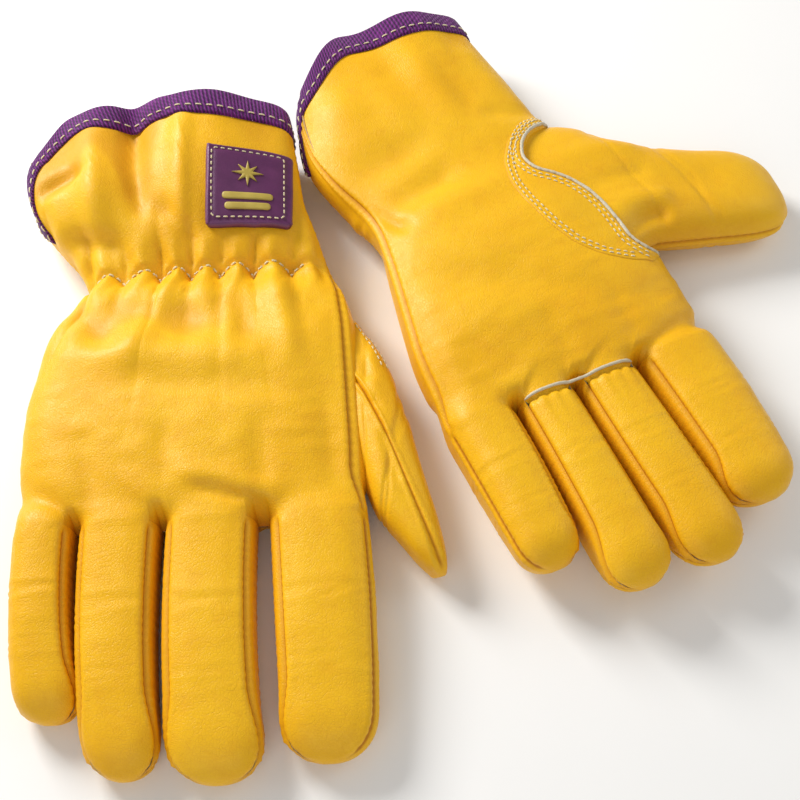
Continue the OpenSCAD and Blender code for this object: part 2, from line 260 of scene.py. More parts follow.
# Each finger: its two edges, towards the little finger and towards the thumb, at its base, at MIDDLE_AT
# of its length and at its tip, then where it ends.
fingers = {
    "right": [[(27, 60), (28.4, 61.2), (31.2, 60), -77.5], [(-7.2, 23), (-7, 22.8), (-2.5, 27), -82],
              [(-35.2, -9.1), (-34.2, -9), (-27, -4.4), -79.5],
              [(-56.5, -37.4), (-55.6, -36.6), (-50, -29.2), -61.5]],
    "left": [[(21.2, 53), (22.3, 53.8), (23.5, 50), -63.5], [(-3.8, 19.2), (-3.2, 20.8), (-0.8, 22.8), -76.5],
             [(-26.8, -5.5), (-26.5, -4.7), (-28, -4.2), -75],
             [(-53.2, -28.6), (-52, -28), (-50.5, -30), -58.5]]}
finger_low = {"right": (0.2, 0.2, 0.4), "left": (0.2, 1, 8)}
finger_high = {"right": (23, 20.5, 15), "left": (26, 25.5, 24)}
MIDDLE_AT = 0.35
TIP_START = {"finger": 0.79, "thumb": 0.78}


def tip_fade(t, start, power):
    """1 along a digit, then falling to 0 at its tip as a superellipse does."""
    x = np.clip((t - start) / (1 - start), 0, 1)
    return np.sqrt(np.maximum(1 - x ** power, 0))


def closing_section(a, b, low, high, t, angle, start):
    """A section of a digit that closes to a rounded tip."""
    mid, seam = (a + b) / 2, low + (high - low) * 0.45
    w, h = tip_fade(t, start, 2.7), tip_fade(t, start, 2.3)
    return section_point(mid + (a - mid) * w, mid + (b - mid) * w, seam + (low - seam) * h,
                         seam + (high - seam) * h, angle, DIGIT_SIDE_FLAT, DIGIT_CROWN_FLAT)


def finger_point(side, f, t, theta):
    """t runs 0 to 1 from the knuckle line to the tip."""
    base, middle, tip, end = fingers[side][f]
    theta = np.asarray(theta, float)
    v = WEB_V + (end - WEB_V) * t
    # A smooth curve through the three places.
    w1 = t * (1 - t) / (MIDDLE_AT * (1 - MIDDLE_AT))
    w2 = t * (t - MIDDLE_AT) / (1 - MIDDLE_AT)
    w0 = 1 - w1 - w2
    a, b = (np.stack([w0 * base[k] + w1 * middle[k] + w2 * tip[k] + 0 * theta, v + 0 * theta], -1)
            for k in (0, 1))
    low = np.interp(t, (0, 0.5, 1), finger_low[side]) + 0 * theta
    high = np.interp(t, (0, 0.5, 1), finger_high[side]) + 0 * theta
    return closing_section(a, b, low, high, t, physical(side, theta), TIP_START["finger"])


def strip_half(t):
    """Half the angle that a strip between fingers spans."""
    taper = smooth((t - STRIP_TAPER_FROM) / (1 - STRIP_TAPER_FROM))
    return STRIP_HALF + (STRIP_HALF_AT_TIP - STRIP_HALF) * taper


def part_span(f, part, half):
    """The angles at which a part of a finger starts and ends round it."""
    outer_thumb, outer_little = f == 0, f == 3
    if part == "back":
        return ULNAR_SEAM if outer_little else 180 - half, radial_seam(0) if outer_thumb else half
    if part == "front":
        return (ULNAR_SEAM if outer_little else 180 + half,
                360 + radial_seam(0) if outer_thumb else 360 - half)
    mid = 0 if part == "thumbside" else 180
    return mid - half, mid + half


def part_columns(f):
    """Steps across a finger's back or front. The outer fingers reach further round."""
    return 26 if f in (0, 3) else 22


# Each thumb: stations from inside its hole to its tip, with the corner towards the fingers and the
# corner towards the cuff, then its heights.
THUMB_INSIDE = -0.35
thumbs = {
    "right": ([THUMB_INSIDE, 0, 0.38, 0.72, 1],
              [(46, 34), (57.5, 19), (62.5, 2), (70.5, -7.5), (80.5, -21.5)],
              [(43, 84), (58, 84), (72, 54), (80.5, 14), (88.5, -22)],
              [0.2, 0.2, 0.2, 0.2, 0.4], [14, 21.5, 23, 20, 15]),
    "left": ([THUMB_INSIDE, 0, 0.38, 0.72, 1],
             [(31, 57), (55, 50), (79, 45.5), (100, 40.5), (120, 40)],
             [(34, 121), (49, 119.5), (72.5, 98), (96, 86.5), (125.5, 76)],
             [3, 3, 0.6, 0.6, 2.4], [25, 27.5, 25, 23, 18.5])}
thumb_profiles = {side: {k: Profile(list(zip(t, value)), 0.07, 0.01) for k, value in (
    ("au", [p[0] for p in a]), ("av", [p[1] for p in a]), ("bu", [p[0] for p in b]),
    ("bv", [p[1] for p in b]), ("low", low), ("high", high))}
    for side, (t, a, b, low, high) in thumbs.items()}
THUMB_SEAM = {"right": 90.0, "left": 0.0}


def thumb_point(side, t, angle):
    """t runs from below 0 inside the hole to 1 at the tip."""
    at = {k: profile(t) for k, profile in thumb_profiles[side].items()}
    angle = np.asarray(angle, float)
    flat = np.ones_like(angle)[..., None]
    a, b = flat * np.array([at["au"], at["av"]]), flat * np.array([at["bu"], at["bv"]])
    return closing_section(a, b, at["low"] + 0 * angle, at["high"] + 0 * angle, t, angle,
                           TIP_START["thumb"])


# ---------------------------------------------------------------- grids


def grid_normals(grid, outward):
    """Normals of a grid of points, turned to the outward side."""
    n = unit(np.cross(np.gradient(grid, axis=1), np.gradient(grid, axis=0)))
    return n if (n @ np.array(outward, float)).sum() > 0 else -n


def row_lengths(grid):
    """The distance of each point of a grid from its row's start, along the row."""
    gaps = np.linalg.norm(np.diff(grid, axis=1), axis=-1)
    return np.concatenate([np.zeros((len(grid), 1)), np.cumsum(gaps, 1)], 1)


def across_rows(grid):
    """For each point of a grid: how far it lies along its row from each end, and the shorter of these,
    then its share of the row."""
    length = row_lengths(grid)
    total = length[:, -1:]
    return length, total - length, np.minimum(length, total - length), length / np.maximum(total, 1e-6)


def seams_of(length, rest, along, depth=0.95):
    """The grooves of the seams at both ends of a grid's rows."""
    return seam_dip(length, along, depth) + seam_dip(rest, along, depth)


def distance_to_path(p, path):
    """Distance in the plane from points p to a polyline."""
    best = np.full(p.shape[:-1], 1e9)
    for a, b in zip(path[:-1], path[1:]):
        d = np.array(b, float) - np.array(a, float)
        share = np.clip(((p[..., :2] - a) @ d) / (d @ d), 0, 1)
        gap = np.linalg.norm(p[..., :2] - (np.array(a) + share[..., None] * d), axis=-1)
        best = np.minimum(best, gap)
    return best


def seam_direction(points, middle, normals, gap):
    """Outward directions that turn into the same one for both pieces that meet at a seam."""
    at_seam = bell(gap, 1.5)[..., None]
    return unit(normals * (1 - at_seam) + unit(points - middle) * at_seam)


def seam_dip(dist, along, depth):
    """A seam: a narrow groove with a rolled, slightly puckered edge."""
    roll = 0.42 * bell(dist - 2.3, 1.3)
    pucker = 0.14 * np.cos(along * 2 * np.pi / 2.6) * bell(dist - 1.4, 1.3)
    return roll + pucker - depth * bell(dist, 0.8)


def soft_noise(p, seed, amount):
    """Gentle unevenness of worn leather, from broad to fine."""
    stretched = p * np.array([1.0, 0.6, 1.0])
    return amount * (0.75 * noise(stretched, 0.028, seed) + 0.3 * noise(p, 0.07, seed + 1)
                     + 0.07 * noise(p, 0.22, seed + 2))


# Folds: ends of the fold, half width, height (below zero for a dent).
folds = {
    "right_back": [
        ((3, 10), (27, 3), 2.4, -0.9), ((-4, 15), (30, 8), 4, 0.7), ((-30, 84), (6, 74), 9, -2.0),
        ((-48, 92), (-30, 66), 6, -1.5), ((-44, 62), (20, 58), 7, 0.9), ((-20, 50), (40, 44), 5, -0.5),
        ((14, 92), (20, 64), 5, -1.2), ((30, 92), (36, 60), 4, 0.9), ((-12, 92), (-20, 60), 5, 1.1),
        ((-52, 118), (-30, 112), 4, -1.6), ((-30, 176), (-22, 124), 4.5, -2.6),
        ((-46, 170), (-38, 122), 7, 1.8), ((-8, 172), (-6, 118), 5, 1.8), ((-14, 128), (-2, 112), 4, -1.3),
        ((-60, 40), (-52, 8), 5, -0.5), ((46, 40), (50, 10), 4, -0.4), ((-36, 30), (-30, 8), 4, -0.5),
        ((-8, 34), (-6, 8), 4, -0.5), ((24, 34), (26, 8), 4.5, -0.6), ((38, 104), (45, 78), 4, -0.9),
        ((-63, 138), (-46, 146), 4, -2.2), ((38, 160), (36, 118), 5, -0.8)],
    "left_palm": [
        ((-34, 96), (-6, 104), 6, -1.3), ((-30, 84), (10, 92), 7, 0.8), ((-40, 60), (4, 36), 8, -0.9),
        ((4, 34), (44, 20), 6, -0.7), ((-40, 118), (-10, 122), 8, -1.0), ((-18, 180), (-14, 128), 8, 1.2),
        ((8, 178), (16, 130), 7, -1.2), ((-36, 26), (-24, 8), 5, -0.6), ((-4, 26), (-2, 8), 4, -0.5),
        ((22, 26), (24, 8), 4, -0.5), ((-44, 100), (-34, 84), 3.2, -1.6), ((20, 128), (40, 124), 5, -1.1),
        ((-44, 30), (-42, 4), 4, 0.6), ((28, 170), (30, 140), 6, 1.0)],
    # Slack leather falls into folds where the left thumb leaves its hole.
    "left_thumb_front": [
        ((44, 58), (62, 56), 3.2, -2.4), ((46, 68), (66, 64), 4, 1.5), ((44, 80), (64, 78), 3.4, -1.3),
        ((48, 96), (66, 92), 5, 1.0), ((60, 72), (90, 66), 7, -0.8), ((56, 106), (80, 96), 3, -0.7)],
    "right_thumb_front": [
        ((58, 76), (62, 52), 2.6, -1.4), ((62, 60), (66, 30), 3, 0.9), ((64, 40), (70, 12), 2.4, -0.8)]}
folds["right_thumb_back"] = folds["right_thumb_front"]
FINGER_CREASES = (0.33, 0.36, 0.62, 0.655)

# The welt of the thumb hole and the outer edge of the crescent, as they lie on the left palm.
hole_path = [(50, 120), (45.5, 118.8), (39.5, 117), (31.5, 113.5), (25.6, 107.9), (21.8, 99), (23.8, 91),
             (29.5, 86.8), (34.5, 81), (38.2, 73.5), (40.6, 65), (41.6, 56), (41.5, 47), (46, 40), (54, 38)]
crescent_path = [(46, 123.5), (39.8, 121.8), (30.1, 118.6), (20, 110.5), (13.6, 100.2), (10.6, 88),
                 (11.4, 75.9), (14.2, 62), (19, 50.2), (26.5, 41.5), (36, 36), (47, 34)]


def smooth_path(path, n=160, soft=3.0):
    """A path with n even points and its corners rounded."""
    points = resample(np.array(path, float), np.linspace(0, 1, n))
    kernel = np.exp(-0.5 * (np.arange(-12, 13) / soft) ** 2)
    kernel /= kernel.sum()
    ends = [np.pad(points[:, k], 12, mode="reflect", reflect_type="odd") for k in range(points.shape[1])]
    return np.stack([np.convolve(e, kernel, "valid") for e in ends], -1)


hole_line = smooth_path(hole_path)
crescent_line = smooth_path(crescent_path)
order = np.argsort(hole_line[:, 1])
hole_u = Profile(list(zip(hole_line[order, 1], hole_line[order, 0])), 1.0)


badge_place = {"right": (19.2, 134), "left": (18, 136)}
badge_size = (16.0, 17.0)


def gather_phase(u):
    """Whole numbers fall in the valleys between the folds at the wrist."""
    return (u + 3) / 12.3 + 0.11 * np.sin(u * 0.11)


def scallop_v(u):
    return 99.4 + 0.04 * u + 4.4 * np.abs(np.sin(np.pi * gather_phase(u))) ** 0.8


WRIST_V = 102.0
GATHER_HEIGHT = 4.6
SAG_DEPTH = 8.5
HOLE_DEPTH = 8.5


def hand_relief(side, face, p, share):
    """How far each point of a hand panel stands out from its plain section. share runs 0 to 1 across."""
    u, v = p[..., 0], p[..., 1]
    seed = 10 if side == "right" else 40
    seed += 5 if face == "palm" else 0
    upper = (side == "right") == (face == "back")
    edge = between_ends(share, 0.07)
    d = soft_noise(p, seed, 1.0 if upper else 0.25)
    boost = 1.7 if side == "right" else 1.35
    for a, b, width, height in folds.get(f"{side}_{face}", ()):
        # A fold fades over a quarter of its length past each end.
        a, b = np.array(a, float), np.array(b, float)
        run = b - a
        along = ((p[..., :2] - a) @ run) / (run @ run)
        ends = smooth((along + 0.25) / 0.5) * smooth((1.25 - along) / 0.5)
        gap = distance_to_path(p, [a - 0.25 * run, b + 0.25 * run])
        d += height * boost * ends * bell(gap, width)
    if face == "back":
        # The elastic gathers the back into short folds that spread out above and below its stitching.
        spread = 1 - 0.0045 * np.abs(v - WRIST_V)
        wave = np.pi * gather_phase(u * spread)
        height = 0.8 + 0.4 * noise(np.stack([u, 0 * u, 0 * u], -1), 0.09, seed + 3)
        reach = np.where(v < WRIST_V, 17 + 6 * np.sin(u * 0.23), 12 + 4 * np.sin(u * 0.31 + 1))
        ridge = 1.6 * np.abs(np.sin(wave)) ** 0.8 - 0.8
        centre, size = badge_place[side], badge_size
        under_badge = smooth((size[0] + 5 - np.abs(u - centre[0])) / 6) * \
            smooth((size[1] + 5 - np.abs(v - centre[1])) / 6)
        fold = GATHER_HEIGHT * height * ridge * np.exp(-np.abs(v - WRIST_V) / reach)
        fold -= 2.0 * bell(v - scallop_v(u), 1.9)
        fold += 0.5 * np.cos(wave * 4 + 1.3 * np.sin(v * 0.3)) * bell(v - 101, 9)
        d += between_ends(share, 0.1) * (1 - under_badge) * fold
    # The cuff is slack: its edge waves, more so where it stands free.
    loose = smooth((v - 112) / 60) * (0.25 + 0.75 * edge * float(upper))
    if side == "right" and face == "back":
        # The little finger side of the right cuff sags below the rest of its edge.
        d -= SAG_DEPTH * smooth((-15 - u) / 15) * smooth((v - 126) / 48) * edge
    d += 0.25 * bell(v - 20, 40) * noise(p * np.array([0.5, 1.6, 1.0]), 0.2, seed + 7) * float(upper)
    if side == "left" and face == "palm":
        # The leather inside the thumb hole's outline lies below the thumb that is sewn into it.
        gap = distance_to_path(p, hole_line)
        inside = (u > hole_u(v)) & (v > 38) & (v < 122)
        fade = smooth((1 - share) / 0.1)
        d -= np.where(inside, HOLE_DEPTH * smooth(gap / 6), 0) * fade
        d += 0.5 * bell(gap, 2.4) * fade
    slack = loose * (1.9 * np.sin(u * 0.15 + (1.2 if side == "right" else 0.4)) + 1.3 * noise(p, 0.05, 16))
    return d * edge + slack


def web_columns(side, face):
    """The lower edge of a hand panel: over each finger and down into each web, then how late each
    column dips, and which columns belong to which finger."""
    back = face == "back"
    pieces, late, spans, count = [], [], {}, 0

    def add(points, values):
        nonlocal count
        first = 1 if pieces else 0
        pieces.append(points[first:])
        late.extend(values[first:])
        count += len(points) - first

    def arc(f, start, end, shares):
        return resample(finger_point(side, f, 0.0, np.linspace(start, end, 700)), shares)

    for f in (3, 2, 1, 0):
        start, end = part_span(f, "back" if back else "front", STRIP_HALF)
        n = part_columns(f)
        first = max(count - 1, 0)
        lag = 1.2 + 8 * np.abs(2 * clustered(n) - 1) ** 4
        if f == 3:
            lag[: n // 2] = 1.2
        if f == 0:
            lag[n // 2:] = 1.2
        add(arc(f, start, end, clustered(n)), list(lag))
        spans[f] = slice(first, count)
        if f:
            level = 0 if back else 360
            down = arc(f, end, level, np.linspace(0, 1, 5))
            up = arc(f - 1, 180, 180 - STRIP_HALF if back else 180 + STRIP_HALF, np.linspace(0, 1, 5))
            across = np.linspace(down[-1], up[0], 4)
            add(down, [9.2, 10, 11, 12, 13])
            add(across, [13] * 4)
            add(up, [13, 12, 11, 10, 9.2])
    return np.concatenate(pieces), np.array(late, float), spans


# Rows of a hand panel: close at the knuckle line and at the wrist, ROW_STEP apart elsewhere.
ROW_STEP = 1.6
HAND_ROWS = np.concatenate([[0, 0.45, 0.95, 1.5, 2.15, 2.9, 3.8, 4.9, 6.1, 7.5, 9],
                            np.arange(10.6, 97, ROW_STEP), np.arange(97.2, 108, 1.0)]) + WEB_V


def hand_grid(side, face):
    """The outer face of a hand panel: rows from the knuckle line to the cuff's edge."""
    edge, late, spans = web_columns(side, face)
    steps = np.maximum(np.abs(np.diff(edge[:, 0])), 0.4)
    shares = np.concatenate([[0], np.cumsum(steps)])
    shares /= shares[-1]
    cuff_s = 1 + (HAND_ROWS[HAND_ROWS > PALM_LEN] - PALM_LEN) / CUFF_LEN[side]
    step = ROW_STEP / CUFF_LEN[side]
    rows_s = np.concatenate([HAND_ROWS[HAND_ROWS <= PALM_LEN] / PALM_LEN, cuff_s,
                             np.arange(cuff_s[-1] + step, 2, step), [2.0]])
    rows = []
    for s in rows_s:
        seam_at = radial_seam(s * PALM_LEN if s < 1 else PALM_LEN + (s - 1) * CUFF_LEN[side])
        theta = np.linspace(ULNAR_SEAM, seam_at if face == "back" else 360 + seam_at, 1500)
        rows.append(resample(hand_point(side, s, theta), shares))
    grid = np.stack(rows)
    reach = 17 + (3 if face == "back" else -3) * between_ends(shares, 0.12)
    near = np.clip((WEB_V + reach - grid[..., 1]) / reach, 0, 1)
    weight = smooth(near) ** late[None, :]
    grid[..., 0] += (edge[:, 0] - grid[..., 0]) * smooth(near)
    grid[..., 2] += (edge[:, 2] - grid[..., 2]) * weight
    grid[0] = edge
    outward = (0, 0, 1) if (side == "right") == (face == "back") else (0, 0, -1)
    normals = grid_normals(grid, outward)
    share = np.broadcast_to(shares, grid.shape[:2])
    length, rest, gap, _ = across_rows(grid)
    v = grid[..., 1]
    rise = hand_relief(side, face, grid, share) * smooth((v - WEB_V) / 7)
    seam = seams_of(length, rest, v) * smooth((v - WEB_V) / 3)
    # Painted shade in the grooves of the seams.
    painted_shade_and_rim = np.clip(-seam / 1.4, 0, 1)
    # Painted shade in the webs between the fingers; web also thins the leather there.
    web = np.clip((late[None, :] - 7) / 5, 0, 1) * near ** 8
    middle = np.stack([(edge_little[side](v) + edge_thumb[side](v)) / 2, v,
                       (floor_height[side](v) + top_height[side](v)) / 2], -1)
    grid = grid + seam_direction(grid, middle, normals, gap) * (rise + seam)[..., None]
    keep_above(grid, FLOOR_GAP)
    # Painted shade in deep dents and folds.
    painted_shade_and_rim = painted_shade_and_rim + np.clip((-rise - 0.7) / 6, 0, 0.35)
    return {"grid": grid, "outward": outward, "painted_shade_and_rim": np.clip(painted_shade_and_rim + web, 0, 1), "spans": spans,
            "web": web}


def digit_rows(tip_start):
    """Rows along a digit: even ones, then closer and closer ones round its tip."""
    turn = np.radians(np.linspace(0, 89.6, 20))
    return np.concatenate([np.linspace(0, tip_start, 46)[:-1], tip_start + (1 - tip_start) * np.sin(turn)])


def finger_grid(side, f, part, hand=None):
    """part is back, front, thumbside or littleside. The first row of a back or front is the hand
    panel's own edge, so that the hide runs on across the knuckle line."""
    ts = digit_rows(TIP_START["finger"])
    steps = clustered(part_columns(f) if part in ("back", "front") else 14)
    grid = np.stack([resample(finger_point(side, f, t, np.linspace(*part_span(f, part, strip_half(t)), 500)),
                              steps) for t in ts])
    up = 1 if side == "right" else -1
    outward = {"back": (0, 0, up), "front": (0, 0, -up), "thumbside": (1, 0, 0),
               "littleside": (-1, 0, 0)}[part]
    length, rest, gap, share = across_rows(grid)
    normals = grid_normals(grid, outward)
    t = ts[:, None]
    slim = smooth((1 - t) / 0.05)
    away = smooth((WEB_V - grid[..., 1]) / 3.5)
    seam = seams_of(length, rest, grid[..., 1], 0.5) * slim * away
    if part in ("thumbside", "littleside"):
        # The side strips fold inwards between the fingers.
        middle = np.sin(np.pi * share) * smooth(t / 0.08) * smooth((0.9 - t) / 0.3)
        pucker = np.cos(grid[..., 1] * 2 * np.pi / 3.4 + 2 * noise(grid, 0.2, 80 + f))
        seam = seam + middle * (0.16 * pucker - 0.05)
        # Painted shade: the strips between the fingers are darkened all over, and more in the grooves of
        # their seams.
        painted_shade_and_rim = 0.12 + 0.55 * np.clip(-seam / 0.9, 0, 1)
    else:
        upper = (part == "back") == (side == "right")
        # Painted shade in the grooves of the seams.
        painted_shade_and_rim = np.clip(-seam / 0.42, 0, 1)
        rise = soft_noise(grid, 60 + 7 * f + (3 if part == "front" else 0), 0.7 if upper else 0.2)
        for k, at in enumerate(FINGER_CREASES):
            wander = 0.012 * noise(grid, 0.16, 70 + k + f)
            rise = rise - (0.46 - 0.06 * k) * bell(t - at - wander, 0.011) * smooth(share * (1 - share) * 12)
        rise = rise + 0.35 * bell(t - 0.345, 0.06) + 0.3 * bell(t - 0.64, 0.05)
        if part == "front" and f in (1, 2):
            # The sewn-in fronts are gathered into pleats below the welt.
            below = np.maximum(WEB_V - grid[..., 1], 0)
            pleat = np.cos(grid[..., 0] * 2 * np.pi / 4.6 + f) * np.exp(-below / 6)
            rise = rise + 1.0 * pleat * smooth(share * (1 - share) * 8)
            seam = seam - 1.6 * bell(grid[..., 1] - WEB_V + 0.8, 1.5)
        seam = seam + rise * slim * away * smooth(gap / 2.5)
    middles = np.stack([finger_point(side, f, at, np.arange(0, 360, 5.0)).mean(0) for at in ts])
    grid = grid + seam_direction(grid, middles[:, None], normals, gap) * seam[..., None]
    keep_above(grid, FLOOR_GAP)
    if hand is not None:
        grid[0] = hand["grid"][0, hand["spans"][f]]
    return {"grid": grid, "outward": outward, "painted_shade_and_rim": painted_shade_and_rim}


def thumb_grid(side, half):
    """The outer face of the front or back half of a thumb."""
    start = THUMB_SEAM[side] + (0 if half == "front" else -180)
    ts = np.concatenate([np.linspace(THUMB_INSIDE, 0, 16)[:-1], digit_rows(TIP_START["thumb"])])
    n = 52
    grid = np.stack([resample(thumb_point(side, t, np.linspace(start, start + 180, 900)), clustered(n, 0.8))
                     for t in ts])
    if side == "right":
        outward = (-1, -0.4, 0) if half == "front" else (1, 0.4, 0)
    else:
        outward = (0, 0, 1) if half == "front" else (0, 0, -1)
    normals = grid_normals(grid, outward)
    length, rest, gap, share = across_rows(grid)
    slim = smooth((1 - ts) / 0.05)[:, None]
    seam = seams_of(length, rest, grid[..., 1] + grid[..., 0], 0.8)
    rise = soft_noise(grid, 90 + (4 if half == "front" else 0), 0.9)
    t = ts[:, None] + 0 * length
    for k, at in enumerate((0.44, 0.49, 0.12)):
        wander = 0.03 * noise(grid, 0.09, 30 + k)
        rise = rise - (0.55 - 0.1 * k) * bell(t - at - wander, 0.02) * smooth(share * (1 - share) * 8)
    for a, b, width, height in folds.get(f"{side}_thumb_{half}", ()):
        rise = rise + height * bell(distance_to_path(grid, [a, b]), width)
    # Painted shade in the grooves of the seams.
    painted_shade_and_rim = np.clip(-seam * slim / 1.1, 0, 1)
    middles = np.stack([thumb_point(side, at, np.arange(0, 360, 5.0)).mean(0) for at in ts])
    direction = seam_direction(grid, middles[:, None], normals, gap)
    grid = grid + direction * ((seam + rise * smooth(gap / 2.5)) * slim)[..., None]
    keep_above(grid, FLOOR_GAP)
    return {"grid": grid, "outward": outward, "painted_shade_and_rim": painted_shade_and_rim, "ts": ts, "shares": clustered(n, 0.8)}


# ---------------------------------------------------------------- materials


class Material:
    """A node material, written one node at a time."""

    def __init__(self, name):
        self.material = bpy.data.materials.new(name)
        self.material.use_nodes = True
        self.tree = self.material.node_tree
        self.tree.nodes.clear()

    def add(self, kind, settings=None, **inputs):
        node = self.tree.nodes.new(kind)
        for key, value in (settings or {}).items():
            setattr(node, key, value)
        for key, value in inputs.items():
            socket = node.inputs[int(key[1:])] if key[0] == "i" and key[1:].isdigit() else \
                node.inputs[key.replace("_", " ")]
            if isinstance(value, bpy.types.NodeSocket):
                self.tree.links.new(value, socket)
            else:
                socket.default_value = value
        return node

    def attribute(self, name, output="Vector"):
        return self.add("ShaderNodeAttribute", {"attribute_name": name}).outputs[output]

    def noise(self, vector, scale, detail=3.0, roughness=0.55, distortion=0.0):
        return self.add("ShaderNodeTexNoise", Vector=vector, Scale=scale, Detail=detail, Roughness=roughness,
                        Distortion=distortion).outputs["Fac"]

    def math(self, operation, a, b=0.0):
        return self.add("ShaderNodeMath", {"operation": operation}, i0=a, i1=b).outputs[0]

    def plus(self, a, b, share):
        """a and a share of b."""
        return self.math("ADD", a, self.math("MULTIPLY", b, share))

    def span(self, value, low, high, to_low=0.0, to_high=1.0):
        return self.add("ShaderNodeMapRange", Value=value, From_Min=low, From_Max=high, To_Min=to_low,
                        To_Max=to_high).outputs["Result"]

    def mix(self, share, a, b):
        node = self.add("ShaderNodeMix", {"data_type": "RGBA"})
        for socket, value in ((node.inputs["Factor"], share), (node.inputs[6], a), (node.inputs[7], b)):
            if isinstance(value, bpy.types.NodeSocket):
                self.tree.links.new(value, socket)
            else:
                socket.default_value = value if not isinstance(value, tuple) else (*value, 1.0)
        return node.outputs[2]

    def scaled(self, vector, scale):
        return self.add("ShaderNodeMapping", Vector=vector, Scale=scale).outputs[0]

    def finish(self, colour, roughness, height, distance, **principled):
        bump = self.add("ShaderNodeBump", Strength=1.0, Distance=distance, Height=height)
        shader = self.add("ShaderNodeBsdfPrincipled", Base_Color=colour, Roughness=roughness,
                          Normal=bump.outputs[0], **principled)
        self.add("ShaderNodeOutputMaterial", Surface=shader.outputs[0])
        return self.material


def leather_material(name, light, middle, deep, painted_shade_colour):
    m = Material(name)
    rest = m.attribute("rest")
    # Mask of painted shade in seams, creases, dents and webs, written on each mesh.
    painted_shade_and_rim = m.attribute("painted_shade_and_rim", "Fac")
    patches = m.noise(rest, 0.022, 3.0, 0.6)
    mottle = m.noise(rest, 0.16, 4.0, 0.62, 0.4)
    specks = m.noise(rest, 1.3, 3.0, 0.7)
    colour = m.mix(m.span(patches, 0.33, 0.68), middle, light)
    colour = m.mix(m.span(mottle, 0.5, 0.78, 0.0, 0.22), colour, deep)
    colour = m.mix(m.span(specks, 0.56, 0.8, 0.0, 0.15), colour, deep)
    # Painted shade: the leather turns darker and oranger in seams, creases, dents and webs, where shade
    # falls.
    colour = m.mix(m.span(painted_shade_and_rim, 0.08, 0.9, 0.0, 0.85), colour, painted_shade_colour)
    cells = m.add("ShaderNodeTexVoronoi", {"feature": "DISTANCE_TO_EDGE"}, Vector=rest, Scale=1.05,
                  Randomness=1.0).outputs["Distance"]
    pebble = m.span(cells, 0.0, 0.16)
    small = m.noise(rest, 2.6, 3.0, 0.6)
    lines = m.add("ShaderNodeTexNoise", {"noise_dimensions": "3D"}, Vector=m.scaled(rest, (0.16, 0.22, 0.2)),
                  Scale=1.0, Detail=4.0, Roughness=0.55, Distortion=0.8).outputs["Fac"]
    line = m.math("ABSOLUTE", m.math("SUBTRACT", lines, 0.5))
    wrinkle = m.span(line, 0.0, 0.035)
    soft = m.noise(rest, 0.35, 3.0, 0.6, 0.8)
    height = m.math("MULTIPLY", pebble, 0.3)
    for part, share in ((small, 0.18), (wrinkle, 0.24), (soft, 0.5)):
        height = m.plus(height, part, share)
    colour = m.mix(m.span(pebble, 0.0, 1.0, 0.13, 0.0), colour, deep)
    colour = m.mix(m.span(wrinkle, 0.0, 1.0, 0.08, 0.0), colour, deep)
    roughness = m.plus(m.span(mottle, 0.3, 0.7, 0.37, 0.48), painted_shade_and_rim, 0.2)
    return m.finish(colour, roughness, height, 0.00016, Specular_IOR_Level=0.27, Coat_Weight=0.05,
                    Coat_Roughness=0.25)


def flesh_material():
    m = Material("flesh_side")
    rest = m.attribute("rest")
    fibres = m.noise(m.scaled(rest, (1.0, 0.35, 1.0)), 2.2, 5.0, 0.72, 0.6)
    broad = m.noise(rest, 0.07, 3.0)
    colour = m.mix(m.span(broad, 0.35, 0.65), (0.62, 0.36, 0.10), (0.74, 0.50, 0.20))
    colour = m.mix(m.span(fibres, 0.4, 0.7, 0.0, 0.5), colour, (0.84, 0.66, 0.36))
    return m.finish(colour, 0.92, fibres, 0.0004, Sheen_Weight=0.5, Sheen_Roughness=0.6,
                    Specular_IOR_Level=0.2)


def woven_material(name, dark, light, pitch_along, pitch_across, distance, sheen):
    """Cloth with crosswise ribs. weave holds a point's place along and across the cloth."""
    m = Material(name)
    weave = m.attribute("weave")
    rest = m.attribute("rest")
    split = m.add("ShaderNodeSeparateXYZ", Vector=weave)
    wobble = m.math("MULTIPLY", m.noise(rest, 0.5, 2.0), 0.9)
    along = m.math("ADD", m.math("MULTIPLY", split.outputs[0], 2 * math.pi / pitch_along), wobble)
    across = m.math("MULTIPLY", split.outputs[1], 2 * math.pi / pitch_across)
    rib = m.span(m.math("SINE", along), -1, 1)
    cross = m.span(m.math("SINE", m.plus(across, along, 0.5)), -1, 1)
    fuzz = m.noise(rest, 5.0, 3.0, 0.7)
    height = m.plus(m.plus(rib, cross, 0.5), fuzz, 0.5)
    shade = m.math("MULTIPLY", rib, m.span(cross, 0, 1, 0.55, 1.0))
    colour = m.mix(shade, dark, light)
    faded = tuple(min(1.0, c * 1.4 + 0.01) for c in light)
    colour = m.mix(m.span(m.noise(rest, 0.12, 4.0), 0.5, 0.75, 0.0, 0.35), colour, faded)
    return m.finish(colour, m.span(fuzz, 0.3, 0.7, 0.55, 0.75), height, distance, Sheen_Weight=sheen,
                    Sheen_Roughness=0.4, Specular_IOR_Level=0.3)


def thread_material():
    m = Material("thread")
    weave = m.attribute("weave")
    rest = m.attribute("rest")
    split = m.add("ShaderNodeSeparateXYZ", Vector=weave)
    twist = m.plus(m.math("MULTIPLY", split.outputs[0], 9.0), split.outputs[1], 3.0)
    ply = m.span(m.math("SINE", twist), -1, 1)
    fuzz = m.noise(rest, 4.0, 2.0)
    colour = m.mix(ply, (0.66, 0.54, 0.28), (0.95, 0.88, 0.62))
    colour = m.mix(m.span(m.noise(rest, 0.3, 2.0), 0.4, 0.7, 0.0, 0.4), colour, (0.78, 0.62, 0.32))
    return m.finish(colour, m.span(fuzz, 0.3, 0.7, 0.55, 0.8), m.math("ADD", ply, fuzz), 0.00008,
                    Sheen_Weight=0.4, Specular_IOR_Level=0.35)


